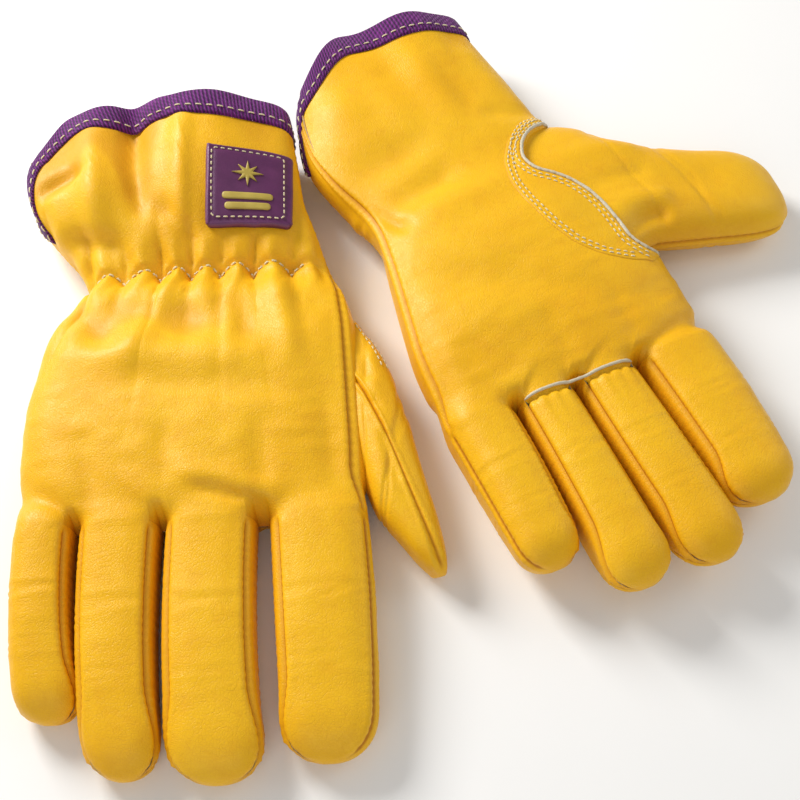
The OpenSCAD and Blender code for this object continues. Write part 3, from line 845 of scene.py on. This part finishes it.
def rubber_material(name, dark, light, wear_and_rim_tone):
    m = Material(name)
    rest = m.attribute("rest")
    edge = m.attribute("painted_shade_and_rim", "Fac")
    fine = m.noise(rest, 3.2, 4.0, 0.6)
    broad = m.noise(rest, 0.12, 3.0)
    scuff = m.span(m.noise(m.scaled(rest, (0.3, 2.4, 1.0)), 0.9, 4.0, 0.7, 0.5), 0.6, 0.8)
    colour = m.mix(m.span(broad, 0.3, 0.7), dark, light)
    colour = m.mix(m.math("MULTIPLY", scuff, 0.25), colour, wear_and_rim_tone)
    # Lighter towards the badge's rim, by the rim mask the badge writes.
    colour = m.mix(m.math("MULTIPLY", edge, 0.5), colour, wear_and_rim_tone)
    return m.finish(colour, m.span(fine, 0.3, 0.7, 0.38, 0.55), fine, 0.00008, Specular_IOR_Level=0.5)


# The last colour of each leather is its painted shade for seams, creases, dents and webs.
leather = leather_material("leather", (0.93, 0.53, 0.012), (0.88, 0.46, 0.006), (0.74, 0.28, 0.003),
                           (0.44, 0.13, 0.002))
# Painted shade: a darker copy of the leather for the strips between the fingers, which lie in shade.
side_leather = leather_material("side_leather", (0.90, 0.47, 0.008), (0.84, 0.41, 0.005),
                                (0.70, 0.28, 0.003), (0.40, 0.12, 0.002))
welt_leather = leather_material("welt_leather", (0.66, 0.62, 0.50), (0.60, 0.54, 0.40), (0.50, 0.40, 0.24),
                                (0.42, 0.26, 0.08))
flesh = flesh_material()
tape = woven_material("purple_tape", (0.040, 0.002, 0.060), (0.24, 0.016, 0.27), 1.5, 1.9, 0.0004, 0.1)
elastic = woven_material("elastic", (0.50, 0.50, 0.47), (0.86, 0.86, 0.82), 0.9, 1.8, 0.0003, 0.3)
thread = thread_material()
rubber = rubber_material("badge_rubber", (0.080, 0.009, 0.068), (0.12, 0.019, 0.098), (0.26, 0.10, 0.22))
emblem_rubber = rubber_material("emblem_rubber", (0.40, 0.29, 0.045), (0.54, 0.41, 0.075), (0.66, 0.55, 0.2))

# ---------------------------------------------------------------- meshes


# How far apart the two gloves' places in the grain lie, so that their patterns differ.
GRAIN_SHIFT = {"right": 0.0, "left": 700.0}


def make_object(side, node, verts, faces, materials, face_materials=None, normals=None, painted_shade_and_rim=None,
                weave=None):
    """A mesh in the row frame that stands for one CAD node. verts are in the glove's own millimetres."""
    layout = layouts[side]
    verts = keep_above(np.array(verts, float), LEAST_GAP)
    mesh = bpy.data.meshes.new(f"{side}_{node}")
    mesh.from_pydata(layout.world(verts).tolist(), [], [tuple(f) for f in faces])
    for material in materials:
        mesh.materials.append(material)
    if face_materials is not None:
        mesh.polygons.foreach_set("material_index", np.asarray(face_materials, np.int32))
    mesh.shade_smooth()
    rest = mesh.attributes.new("rest", "FLOAT_VECTOR", "POINT")
    rest.data.foreach_set("vector", (verts + [0.0, 0.0, GRAIN_SHIFT[side]]).astype(np.float32).ravel())
    # The mask of painted shade (and, on the badge, of its lighter rim) goes to the shaders.
    holds = mesh.attributes.new("painted_shade_and_rim", "FLOAT", "POINT")
    holds.data.foreach_set("value", (np.zeros(len(verts)) if painted_shade_and_rim is None else painted_shade_and_rim).astype(np.float32))
    if weave is not None:
        cloth = mesh.attributes.new("weave", "FLOAT_VECTOR", "POINT")
        cloth.data.foreach_set("vector", np.asarray(weave).astype(np.float32).ravel())
    mesh.update()
    if normals is not None:
        mesh.normals_split_custom_set_from_vertices(layout.direction(normals).tolist())
    obj = bpy.data.objects.new(f"{side}_{node}_made", mesh)
    bpy.context.scene.collection.objects.link(obj)
    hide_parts(f"{side}_{node}")
    return obj


def sheet_faces(rows, cols, outer_first):
    """Quads of two layers of a grid and the walls between their edges."""
    r, c = np.meshgrid(np.arange(rows - 1), np.arange(cols - 1), indexing="ij")
    a = (r * cols + c).ravel()
    top = np.stack([a, a + 1, a + cols + 1, a + cols], 1)
    shift = rows * cols
    loop = np.concatenate([np.arange(cols), np.arange(1, rows) * cols + cols - 1,
                           (rows - 1) * cols + np.arange(cols - 2, -1, -1),
                           np.arange(rows - 2, 0, -1) * cols])
    nxt = np.roll(loop, -1)
    wall = np.stack([nxt, loop, loop + shift, nxt + shift], 1)
    under = top[:, ::-1] + shift
    faces = np.concatenate([top, under, wall])
    kinds = np.concatenate([np.zeros(len(top)), np.ones(len(under) + len(wall))])
    return (faces if outer_first else faces[:, ::-1]), kinds.astype(int)


def tube_faces(rings, around, base=0, closed=False):
    """Quads between rings of points, and a cap on the first and the last ring unless these join up."""
    faces = []
    for i in range(rings if closed else rings - 1):
        this, after = base + i * around, base + (i + 1) % rings * around
        for q in range(around):
            r = (q + 1) % around
            faces.append((this + q, this + r, after + r, after + q))
    if not closed:
        faces.append(tuple(range(base, base + around))[::-1])
        faces.append(tuple(range(base + (rings - 1) * around, base + rings * around)))
    return faces


def facing(grid, outward):
    """True if a grid's own quads face the outward side."""
    n = np.cross(np.gradient(grid, axis=1), np.gradient(grid, axis=0))
    return (n @ np.array(outward, float)).sum() > 0


def shell(side, node, made, normals, skin=None, thick=LEATHER_T):
    """A sheet of leather with a grain side, a flesh side and closed edges."""
    grid = made["grid"]
    rows, cols = grid.shape[:2]
    thick = thick * (1 - 0.8 * made["web"])[..., None] if "web" in made else thick
    inner = keep_above(grid - normals * thick, INNER_GAP)
    faces, kinds = sheet_faces(rows, cols, facing(grid, made["outward"]))
    # Painted shade on the grain side only.
    painted_shade_and_rim = np.concatenate([made["painted_shade_and_rim"].ravel(), made["painted_shade_and_rim"].ravel() * 0])
    return make_object(side, node, layers(grid, inner), faces, [skin or leather, flesh], kinds,
                       layers(normals, -normals), painted_shade_and_rim)


def tree_of(grids):
    """A search tree over the outer faces of some grids."""
    verts, faces, base = [], [], 0
    for made in grids:
        grid = made["grid"]
        rows, cols = grid.shape[:2]
        quads, kinds = sheet_faces(rows, cols, facing(grid, made["outward"]))
        verts.append(grid.reshape(-1, 3))
        faces.append(quads[kinds == 0] + base)
        base += rows * cols
    return BVHTree.FromPolygons(np.concatenate(verts).tolist(), np.concatenate(faces).tolist())


# Heights over and under everything, where a point that is draped starts.
OVER = 90.0
UNDER = -50.0


def drape(tree, points, down):
    """Points moved straight down (or up) onto a surface, or to its nearest point where they miss it."""
    found, normals = [], []
    for p in points:
        start = Vector((p[0], p[1], OVER if down else UNDER))
        hit = tree.ray_cast(start, Vector((0, 0, -1.0 if down else 1.0)))
        if hit[0] is None:
            hit = tree.find_nearest(Vector(p))
        found.append(tuple(hit[0]))
        normals.append(tuple(hit[1]))
    return np.array(found), unit(np.array(normals))


def stitch_row(path, normals, length, gap, radius, lift):
    """Vertices, faces and weave of a row of stitches along a path that lies on a surface."""
    at = path_lengths(path)
    count = int(at[-1] // (length + gap))
    pitch = at[-1] / max(count, 1)
    verts, faces, weave = [], [], []
    sides, stations = 6, 7
    for k in range(count):
        s = (k + 0.5) * pitch + (np.linspace(-0.5, 0.5, stations)) * (pitch - gap)
        p, n = at_lengths(path, at, s), unit(at_lengths(normals, at, s))
        t = unit(np.gradient(p, axis=0))
        b = unit(np.cross(t, n))
        x = np.linspace(-1, 1, stations)
        fat = radius * (1 - 0.75 * x ** 6)
        rise = lift - (lift + radius * 1.1) * x ** 6
        base = len(verts)
        for i in range(stations):
            for q in range(sides):
                a = 2 * np.pi * q / sides
                verts.append(p[i] + n[i] * (rise[i] + fat[i] * 0.8 * np.sin(a)) + b[i] * fat[i] * np.cos(a))
                weave.append((s[i], q * 0.7, 0))
        faces += tube_faces(stations, sides, base)
    return verts, faces, weave


def stitching(side, node, rows, **look):
    """One object with all the stitches of some rows."""
    verts, faces, weave = [], [], []
    for path, normals in rows:
        v, f, w = stitch_row(path, normals, **look)
        faces += [tuple(i + len(verts) for i in face) for face in f]
        verts += v
        weave += w
    return make_object(side, node, np.array(verts), faces, [thread], weave=np.array(weave))


def welt(side, node, path, normals, width, height, seed, lift):
    """A rolled strip of leather laid along a path."""
    n_ring = 12
    t = unit(np.gradient(path, axis=0))
    b = unit(np.cross(t, normals))
    at = path_lengths(path)
    swell = 1 + 0.05 * np.sin(at * 2 * np.pi / 3.1) + 0.12 * noise(path, 0.3, seed)
    ends = np.sqrt(np.clip(np.minimum(at, at[-1] - at) / 2.0, 0.02, 1))
    verts, weave = [], []
    for q in range(n_ring):
        a = 2 * np.pi * q / n_ring
        w = width * np.cos(a) * ends * swell
        h = height * (np.sin(a) + 0.25) * ends * swell + lift
        verts.append(path + b * w[:, None] + normals * h[:, None])
        weave.append(np.stack([at, 0 * at + q, 0 * at], -1))
    verts, weave = np.stack(verts, 1), np.stack(weave, 1)
    faces = tube_faces(len(path), n_ring)
    verts = keep_above(verts.reshape(-1, 3), FLOOR_GAP)
    return make_object(side, node, verts, faces, [welt_leather], weave=weave.reshape(-1, 3))


# A length along each finger from its knuckle line, and from where to where along a thumb: from a little
# inside the line of its hole. The ends of these stretches are worked out; nothing here bends them.
BEND_LENGTH = 19.0
THUMB_BEND = (-3, 15)


def add_fingers(side, panels):
    """Each finger's back, its front and the strips between, sewn to the hand's two panels."""
    layout, hand_body = layouts[side], side + "_hand"
    for f, digit in enumerate(DIGITS):
        base = fingers[side][f][0]
        middle = (base[0] + base[1]) / 2
        from_v, to_v = layout.world([[middle, WEB_V, 20], [middle, WEB_V - BEND_LENGTH, 20]])
        nodes = {"back": f"{digit}_back", "front": f"{digit}_front"}
        if f != 0:
            nodes["thumbside"] = f"{digit}_thumbside_fourchette" if f != 3 else "little_fourchette"
        if f != 3:
            nodes["littleside"] = f"{digit}_littleside_fourchette" if f != 0 else "index_fourchette"
        for part, node in nodes.items():
            face = "back" if part == "back" else "palm"
            if part in ("back", "front"):
                hand = panels[face]
                made = finger_grid(side, f, part, hand)
                span = hand["spans"][f]
                joined = np.concatenate([hand["grid"][1:2, span], made["grid"]])
                normals = grid_normals(joined, made["outward"])[1:]
                if not (f in (1, 2) and part == "front"):
                    hand["normals"][0, span] = normals[0]
                slot, skin = "leather", leather
            else:
                made = finger_grid(side, f, part)
                normals = grid_normals(made["grid"], made["outward"])
                # The strips between the fingers take the darker copy of the leather, with shade painted in.
                slot, skin = "side_leather", side_leather
            obj = shell(side, node, made, normals, skin)
            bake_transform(obj)


def add_thumb(side, hand_tree):
    """The thumb's two halves. Returns a search tree over them and the two ends of a stretch
    over the root of the thumb, which nothing here bends."""
    a0 = np.array(thumbs[side][1][1], float)
    b0 = np.array(thumbs[side][2][1], float)
    along = unit(b0 - a0)
    away = np.array([along[1], -along[0]])
    root = (a0 + b0) / 2
    start, end = layouts[side].world([[*(root + reach * away), 12] for reach in THUMB_BEND])
    thumb_halves = []
    for half in ("front", "back"):
        made = thumb_grid(side, half)
        thumb_halves.append(made)
        if side == "left" and half == "front":
            # The thumb is sewn in under the edge of its hole.
            sewn = drape(hand_tree, at_height(hole_line + [-1.6, 0], 15.0), True)[0]
            sewn -= [0, 0, LEATHER_T + 0.5]
            sewn = resample(smooth_path(sewn), made["shares"])
            pull = smooth((0.1 - made["ts"]) / 0.45)[:, None, None]
            made["grid"] = made["grid"] * (1 - pull) + sewn[None] * pull
        obj = shell(side, "thumb_" + half, made, grid_normals(made["grid"], made["outward"]))
        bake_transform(obj)
    return tree_of(thumb_halves), (tuple(start), tuple(end))


TAPE_WIDTH = 10.8


def add_binding(side, panels):
    """A tape folded over the whole cuff edge, built on the two panels' own last rows, and its stitches."""
    back_rim, palm_rim = panels["back"]["grid"], panels["palm"]["grid"]
    ring = np.concatenate([back_rim[:, ::-1], palm_rim[:, 1:]], 1)
    ring_normals = np.concatenate([panels["back"]["normals"][:, ::-1], panels["palm"]["normals"][:, 1:]], 1)
    ring, ring_normals = ring[:, :-1], ring_normals[:, :-1]
    cols = ring.shape[1]
    edge = ring[-1]
    # Even steps round the edge, then the tape's path down each side of the leather.
    around = path_lengths(np.concatenate([edge, edge[:1]]))
    steps = 420
    at = np.linspace(0, around[-1], steps, endpoint=False)
    column = np.interp(at, around, np.arange(cols + 1))
    lower, share = np.floor(column).astype(int), (column % 1)[:, None]

    def pick(rows, k):
        row = rows[k]
        return row[lower % cols] * (1 - share) + row[(lower + 1) % cols] * share

    depth_rows = 14
    lines = np.stack([pick(ring, len(ring) - 1 - k) for k in range(depth_rows)])
    out = unit(np.stack([pick(ring_normals, len(ring) - 1 - k) for k in range(depth_rows)]))
    # Ease the seam grooves out of the tape's path.
    for _ in range(14):
        for block in (lines, out):
            block[:] = (np.roll(block, 1, 1) + 2 * block + np.roll(block, -1, 1)) / 4
    out = unit(out)
    run = row_lengths(lines.swapaxes(0, 1))
    width = TAPE_WIDTH + 0.6 * noise(lines[0], 0.06, 3)

    def on_cuff(depth):
        """A point and its outward direction at a depth below the edge, for every step round."""
        p, n = (np.array([at_lengths(block[:, k], run[k], depth[k]) for k in range(steps)])
                for block in (lines, out))
        return p, unit(n)

    up = unit(lines[0] - lines[3])
    bulge = 0.25 * noise(lines[0], 0.25, 8) + 0.2 * noise(lines[0], 0.12, 9)
    profile, across = [], []
    for share_down in np.linspace(1, 0, 9):
        p, n = on_cuff(width * share_down)
        swell = 0.85 + 0.35 * np.sin(np.pi * min(share_down * 1.1, 1)) + bulge
        swell = np.where(share_down > 0.95, 0.35, swell)
        profile.append(p + n * swell[:, None] + up * (1 - share_down) ** 4 * 0.6)
        across.append(share_down * 9)
    p, n = on_cuff(0 * width)
    for lean, high in ((0.6, 1.3), (-0.65, 1.75), (-1.9, 1.3)):
        profile.append(p + n * lean + up * high)
        across.append(-1.2 + lean)
    for share_down in np.linspace(0.05, 1, 7):
        p, n = on_cuff(width * share_down * 0.92)
        profile.append(p - n * (LEATHER_T + 1.0 - 0.6 * (share_down > 0.95)))
        across.append(-2 - share_down * 9)
    for inset, share_down in ((LEATHER_T + 0.15, 0.9), (0.6, 0.9)):
        p, n = on_cuff(width * share_down)
        profile.append(p - n * inset)
        across.append(-12)
    verts = keep_above(np.stack(profile, 1), INNER_GAP)
    ring_n = verts.shape[1]
    weave = np.stack([np.repeat(at[:, None], ring_n, 1), np.repeat(np.array(across)[None], steps, 0),
                      np.zeros((steps, ring_n))], -1)
    obj = make_object(side, "cuff_binding", verts.reshape(-1, 3), tube_faces(steps, ring_n, closed=True),
                      [tape], weave=weave.reshape(-1, 3))
    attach(obj, side + "_hand")
    p, n = on_cuff(width * 0.66)
    path = p + n * (1.18 + bulge)[:, None]
    path, n = np.concatenate([path, path[:1]]), np.concatenate([n, n[:1]])
    obj = stitching(side, "binding_stitching", [(path, n)], length=2.9, gap=1.3, radius=0.33, lift=0.16)
    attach(obj, side + "_hand")


def add_wrist(side, made, tree):
    """Gathering stitches over the elastic, then the elastic itself inside the back."""
    u = np.linspace(-39, 40, 400)
    line = np.stack([u, scallop_v(u), 20 + 0 * u], -1)
    path, n = drape(tree, line, side == "right")
    obj = stitching(side, "wrist_stitching", [(path, n)], length=2.4, gap=0.7, radius=0.42, lift=0.32)
    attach(obj, side + "_hand")
    grid, normals = made["grid"], made["normals"]
    rows_in = np.where(np.abs(grid[:, grid.shape[1] // 2, 1] - 101.5) < 6)[0]
    cols_in = slice(14, grid.shape[1] - 14)
    band_grid = grid[rows_in, cols_in] - normals[rows_in, cols_in] * (LEATHER_T + 0.25)
    inner = band_grid - normals[rows_in, cols_in] * 1.0
    r, c = band_grid.shape[:2]
    faces, _ = sheet_faces(r, c, facing(band_grid, made["outward"]))
    both = keep_above(layers(band_grid, inner), INNER_GAP)
    run_along = row_lengths(band_grid)
    cloth = np.stack([run_along, band_grid[..., 1], 0 * run_along], -1).reshape(-1, 3)
    obj = make_object(side, "wrist_elastic", both, faces, [elastic],
                      weave=np.concatenate([cloth, cloth]))
    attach(obj, side + "_hand")


def add_crescent(side, panels, tree, thumb_tree):
    """The crescent beside the thumb hole, its two pairs of stitch rows, and the welt round the hole."""
    back_up = side == "right"
    if side == "left":
        outer_line, inner_line = crescent_line, hole_line
    else:
        outer_line, inner_line = crescent_line + [1, -11], hole_line + [1, -11]
    n_across = 22
    between = clustered(n_across, 0.6)
    a, b = (resample(line, np.linspace(0.02, 0.98, 120)) for line in (outer_line, inner_line))
    flat = a[:, None] * (1 - between[None, :, None]) + b[:, None] * between[None, :, None]
    height = 15.0
    laid, laid_n = (block.reshape(*flat.shape[:2], 3)
                    for block in drape(tree, at_height(flat.reshape(-1, 2), height), not back_up))
    length, _, edge_gap, _ = across_rows(laid)
    ends_gap = np.minimum(np.arange(120), np.arange(120)[::-1])[:, None]
    lift = 0.75 * (1 - np.exp(-edge_gap / 0.9)) + 0.25 * bell(edge_gap - 2.0, 1.2) - 0.5
    dents = sum(0.28 * bell(length - d, 0.8) for d in (2.4, 4.6))
    lift = (lift - dents) * np.clip(ends_gap / 3, 0, 1) + 0.15
    outward = (0, 0, -1) if back_up else (0, 0, 1)
    # The crescent's mask paints shade along its edges, where it meets the palm.
    crescent = {"grid": laid + laid_n * lift[..., None], "outward": outward,
                "painted_shade_and_rim": np.clip(1 - edge_gap / 1.1, 0, 1)}
    keep_above(crescent["grid"], FLOOR_GAP)
    obj = shell(side, "thumb_keystone", crescent, grid_normals(crescent["grid"], outward),
                thick=0.9)
    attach(obj, side + "_hand")
    crescent_tree = tree_of([panels["back"], panels["palm"], crescent])
    rows = []
    for line, shift in ((outer_line, 1.9), (outer_line, 3.9), (inner_line, -2.4), (inner_line, -4.4)):
        way = unit(np.gradient(line, axis=0))
        moved = line + np.stack([-way[:, 1], way[:, 0]], -1) * shift
        moved = resample(moved, np.linspace(0.07, 0.93, 200))
        rows.append(drape(crescent_tree, at_height(moved, height), not back_up))
    if side == "right":
        # The crescent's stitches come up over the root of the thumb.
        for inset in (3.2, 5.4):
            over = np.array([(59.5 - inset, 86), (64.5 - inset, 76), (69.5 - inset, 65), (72.5 - inset, 56)])
            line = resample(smooth_path(over, soft=8.0), np.linspace(0, 1, 120))
            rows.append(drape(thumb_tree, at_height(line, 20.0), True))
    obj = stitching(side, "keystone_stitching", rows, length=1.9, gap=0.8, radius=0.31, lift=0.2)
    if side == "right":
        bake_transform(obj)
    else:
        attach(obj, side + "_hand")
    line = resample(inner_line, np.linspace(0.03, 0.97, 220))
    path, n = drape(crescent_tree, at_height(line, height), not back_up)
    path = smooth_path(path, 220, 2.0)
    obj = welt(side, "thumb_welt", path, n, 0.72, 0.6, 5, 0.2)
    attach(obj, side + "_hand")


def add_finger_welt(side, palm):
    """The welt along the bases of the ring and middle fingers, arched over each finger."""
    over = np.r_[palm["spans"][2].start + 1:palm["spans"][2].stop - 5,
                 palm["spans"][1].start + 5:palm["spans"][1].stop - 1]
    row = palm["grid"][0, over]
    row_n = palm["normals"][1, over]
    path = resample(row, np.linspace(0, 1, 130))
    path_n = unit(resample(np.concatenate([row, row_n], 1), np.linspace(0, 1, 130))[:, 3:])
    path = smooth_path(path, 130, 2.6)
    obj = welt(side, "finger_welt", path, path_n, 0.6, 0.55, 6, 0.3)
    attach(obj, side + "_hand")


def add_badge(side, tree):
    """A moulded patch on the back of the cuff, with a stitched border and a plain emblem."""
    centre, back_up = badge_place[side], side == "right"
    half_w, half_l = badge_size
    thick, corner = 2.1, 2.2
    nu, nv = 40, 42
    gu, gv = clustered(nu, 0.55) * 2 - 1, clustered(nv, 0.55) * 2 - 1
    bu, bv = np.meshgrid(gu, gv)
    bu, bv = bu * half_w, bv * half_l
    # Rounded corners: points beyond the corner circle are drawn in onto it.
    cu, cv = np.abs(bu) - (half_w - corner), np.abs(bv) - (half_l - corner)
    beyond = (cu > 0) & (cv > 0)
    reach = np.hypot(cu, cv)
    ease = np.where(beyond, np.maximum(cu, cv) / np.maximum(reach, 1e-6), 1)
    bu = np.where(beyond, np.sign(bu) * (half_w - corner + cu * ease), bu)
    bv = np.where(beyond, np.sign(bv) * (half_l - corner + cv * ease), bv)
    flat = np.stack([bu + centre[0], bv + centre[1], 20 + 0 * bu], -1).reshape(-1, 3)
    under = drape(tree, flat, back_up)[0].reshape(nv + 1, nu + 1, 3)
    for _ in range(30):
        inner_part = (under[:-2, 1:-1] + under[2:, 1:-1] + under[1:-1, :-2] + under[1:-1, 2:]) / 4
        under[1:-1, 1:-1, 2] = inner_part[..., 2]
    badge_n = grid_normals(under, (0, 0, 1 if back_up else -1))
    from_edge = np.minimum(half_w - np.abs(bu), half_l - np.abs(bv))
    top_rise = thick * (1 - 0.55 * np.exp(-from_edge / 0.5))
    top_rise -= 0.3 * bell(from_edge - 2.4, 0.7)
    top_rise += 0.22 * bell(from_edge - 0.9, 0.5)
    # The rim mask: the badge's colour turns lighter near its edge.
    plate = {"grid": under + badge_n * (top_rise + 0.35)[..., None],
             "outward": (0, 0, 1 if back_up else -1), "painted_shade_and_rim": bell(from_edge - 0.5, 0.5)}
    keep_above(plate["grid"], FLOOR_GAP)
    bottom = keep_above(under + badge_n * -0.4, INNER_GAP)
    faces, _ = sheet_faces(nv + 1, nu + 1, facing(plate["grid"], plate["outward"]))
    obj = make_object(side, "badge", layers(plate["grid"], bottom), faces, [rubber],
                      painted_shade_and_rim=np.concatenate([plate["painted_shade_and_rim"].ravel(), 0 * plate["painted_shade_and_rim"].ravel()]))
    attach(obj, side + "_hand")
    badge_tree = tree_of([plate])

    def on_badge(points):
        flat = np.array([(centre[0] + x, centre[1] + y, 20) for x, y in points])
        return drape(badge_tree, flat, back_up)

    w, l, c = half_w - 2.4, half_l - 2.4, 1.2
    border = [(-w + c, -l), (w - c, -l), (w, -l + c), (w, l - c), (w - c, l), (-w + c, l), (-w, l - c),
              (-w, -l + c), (-w + c, -l)]
    border = resample(np.array(border), np.linspace(0, 1, 400))
    path, n = on_badge(border)
    obj = stitching(side, "badge_stitching", [(path, n)], length=1.9, gap=0.8, radius=0.3, lift=0.14)
    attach(obj, side + "_hand")

    # Emblem: a spark with eight rays over two plain bars.
    shapes = []
    spokes = [(5.9 if k % 2 == 0 else 2.3) * (1.0 if k % 4 == 0 else 0.86) for k in range(16)]
    shapes.append([(r * math.sin(2 * math.pi * k / 16), 4.0 + r * math.cos(2 * math.pi * k / 16))
                   for k, r in enumerate(spokes)])
    for y, half_bar in ((-6.2, 9.5), (-10.4, 8.6)):
        bar = []
        for sx, sy, turn in ((1, 1, 0), (-1, 1, 90), (-1, -1, 180), (1, -1, 270)):
            for step in range(5):
                a = math.radians(turn + 22.5 * step)
                bar.append((sx * (half_bar - 1.2) + 1.2 * math.cos(a), y + sy * 0.2 + 1.2 * math.sin(a)))
        shapes.append(bar)
    verts, faces = [], []
    for shape in shapes:
        middle = np.mean(shape, axis=0)
        dense = resample(np.array(shape + shape[:1]), np.linspace(0, 1, 97))[:-1]
        rings = [(1.0, -0.3), (1.0, 0.32), (0.93, 0.52), (0.62, 0.6), (0.3, 0.62), (0.04, 0.62)]
        faces += tube_faces(len(rings), len(dense), len(verts))
        for size, rise in rings:
            p, n = on_badge(middle + (dense - middle) * size)
            verts.extend(p + n * rise)
    verts = keep_above(np.array(verts), FLOOR_GAP)
    if not back_up:
        faces = [face[::-1] for face in faces]
    obj = make_object(side, "badge_emblem", verts, faces, [emblem_rubber])
    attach(obj, side + "_hand")


for side in SIDES:
    panels = {face: hand_grid(side, face) for face in ("back", "palm")}
    for made in panels.values():
        made["normals"] = grid_normals(made["grid"], made["outward"])
    add_fingers(side, panels)
    tree = tree_of(panels.values())
    thumb_tree, bend = add_thumb(side, tree)
    for face, made in panels.items():
        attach(shell(side, face + "_panel", made, made["normals"]), side + "_hand")
    add_binding(side, panels)
    add_wrist(side, panels["back"], tree)
    add_crescent(side, panels, tree, thumb_tree)
    add_finger_welt(side, panels["palm"])
    add_badge(side, tree)

# ---------------------------------------------------------------- stage


def floor_material():
    m = Material("floor")
    place = m.add("ShaderNodeTexCoord").outputs["Object"]
    soft = m.noise(place, 9.0, 3.0)
    colour = m.mix(m.span(soft, 0.3, 0.7), (0.95, 0.95, 0.95), (0.97, 0.97, 0.97))
    return m.finish(colour, 0.75, soft, 0.00002, Specular_IOR_Level=0.2)


bpy.ops.mesh.primitive_plane_add(size=12, location=(0, 0, -0.0002))
floor = bpy.context.object
floor.name = "floor"
floor.data.materials.append(floor_material())

world = bpy.data.worlds.new("studio")
bpy.context.scene.world = world
world.use_nodes = True
world.node_tree.nodes["Background"].inputs[0].default_value = (1.0, 0.985, 0.95, 1)
world.node_tree.nodes["Background"].inputs[1].default_value = 0.33
bpy.context.scene.view_settings.view_transform = "Standard"


def soft_light(name, place, target, size, power, colour=(1, 1, 1)):
    data = bpy.data.lights.new(name, "AREA")
    data.shape = "RECTANGLE"
    data.size, data.size_y = size
    data.energy = power
    data.color = colour
    lamp = bpy.data.objects.new(name, data)
    lamp.location = place
    lamp.rotation_euler = (Vector(target) - Vector(place)).to_track_quat("-Z", "Y").to_euler()
    bpy.context.scene.collection.objects.link(lamp)


soft_light("key", (-0.60, 0.50, 0.52), (0, 0, 0), (0.36, 0.36), 9.9, (1.0, 0.985, 0.95))
soft_light("front", (-0.1, -0.75, 0.55), (0, -0.05, 0), (0.9, 0.5), 1.9)
soft_light("rim", (0.7, 0.25, 0.45), (0, 0, 0), (0.4, 0.6), 1.2)

camera_data = bpy.data.cameras.new("camera")
camera = bpy.data.objects.new("camera", camera_data)
bpy.context.scene.collection.objects.link(camera)
look_at = Vector((-0.0019, -0.0250, 0.0))
camera.location = (-0.0019, -0.2317, 0.3307)
camera.rotation_euler = (look_at - camera.location).to_track_quat("-Z", "Y").to_euler()
camera_data.sensor_width = 36
camera_data.lens = 47.1
camera_data.clip_start = 0.01
bpy.context.scene.camera = camera
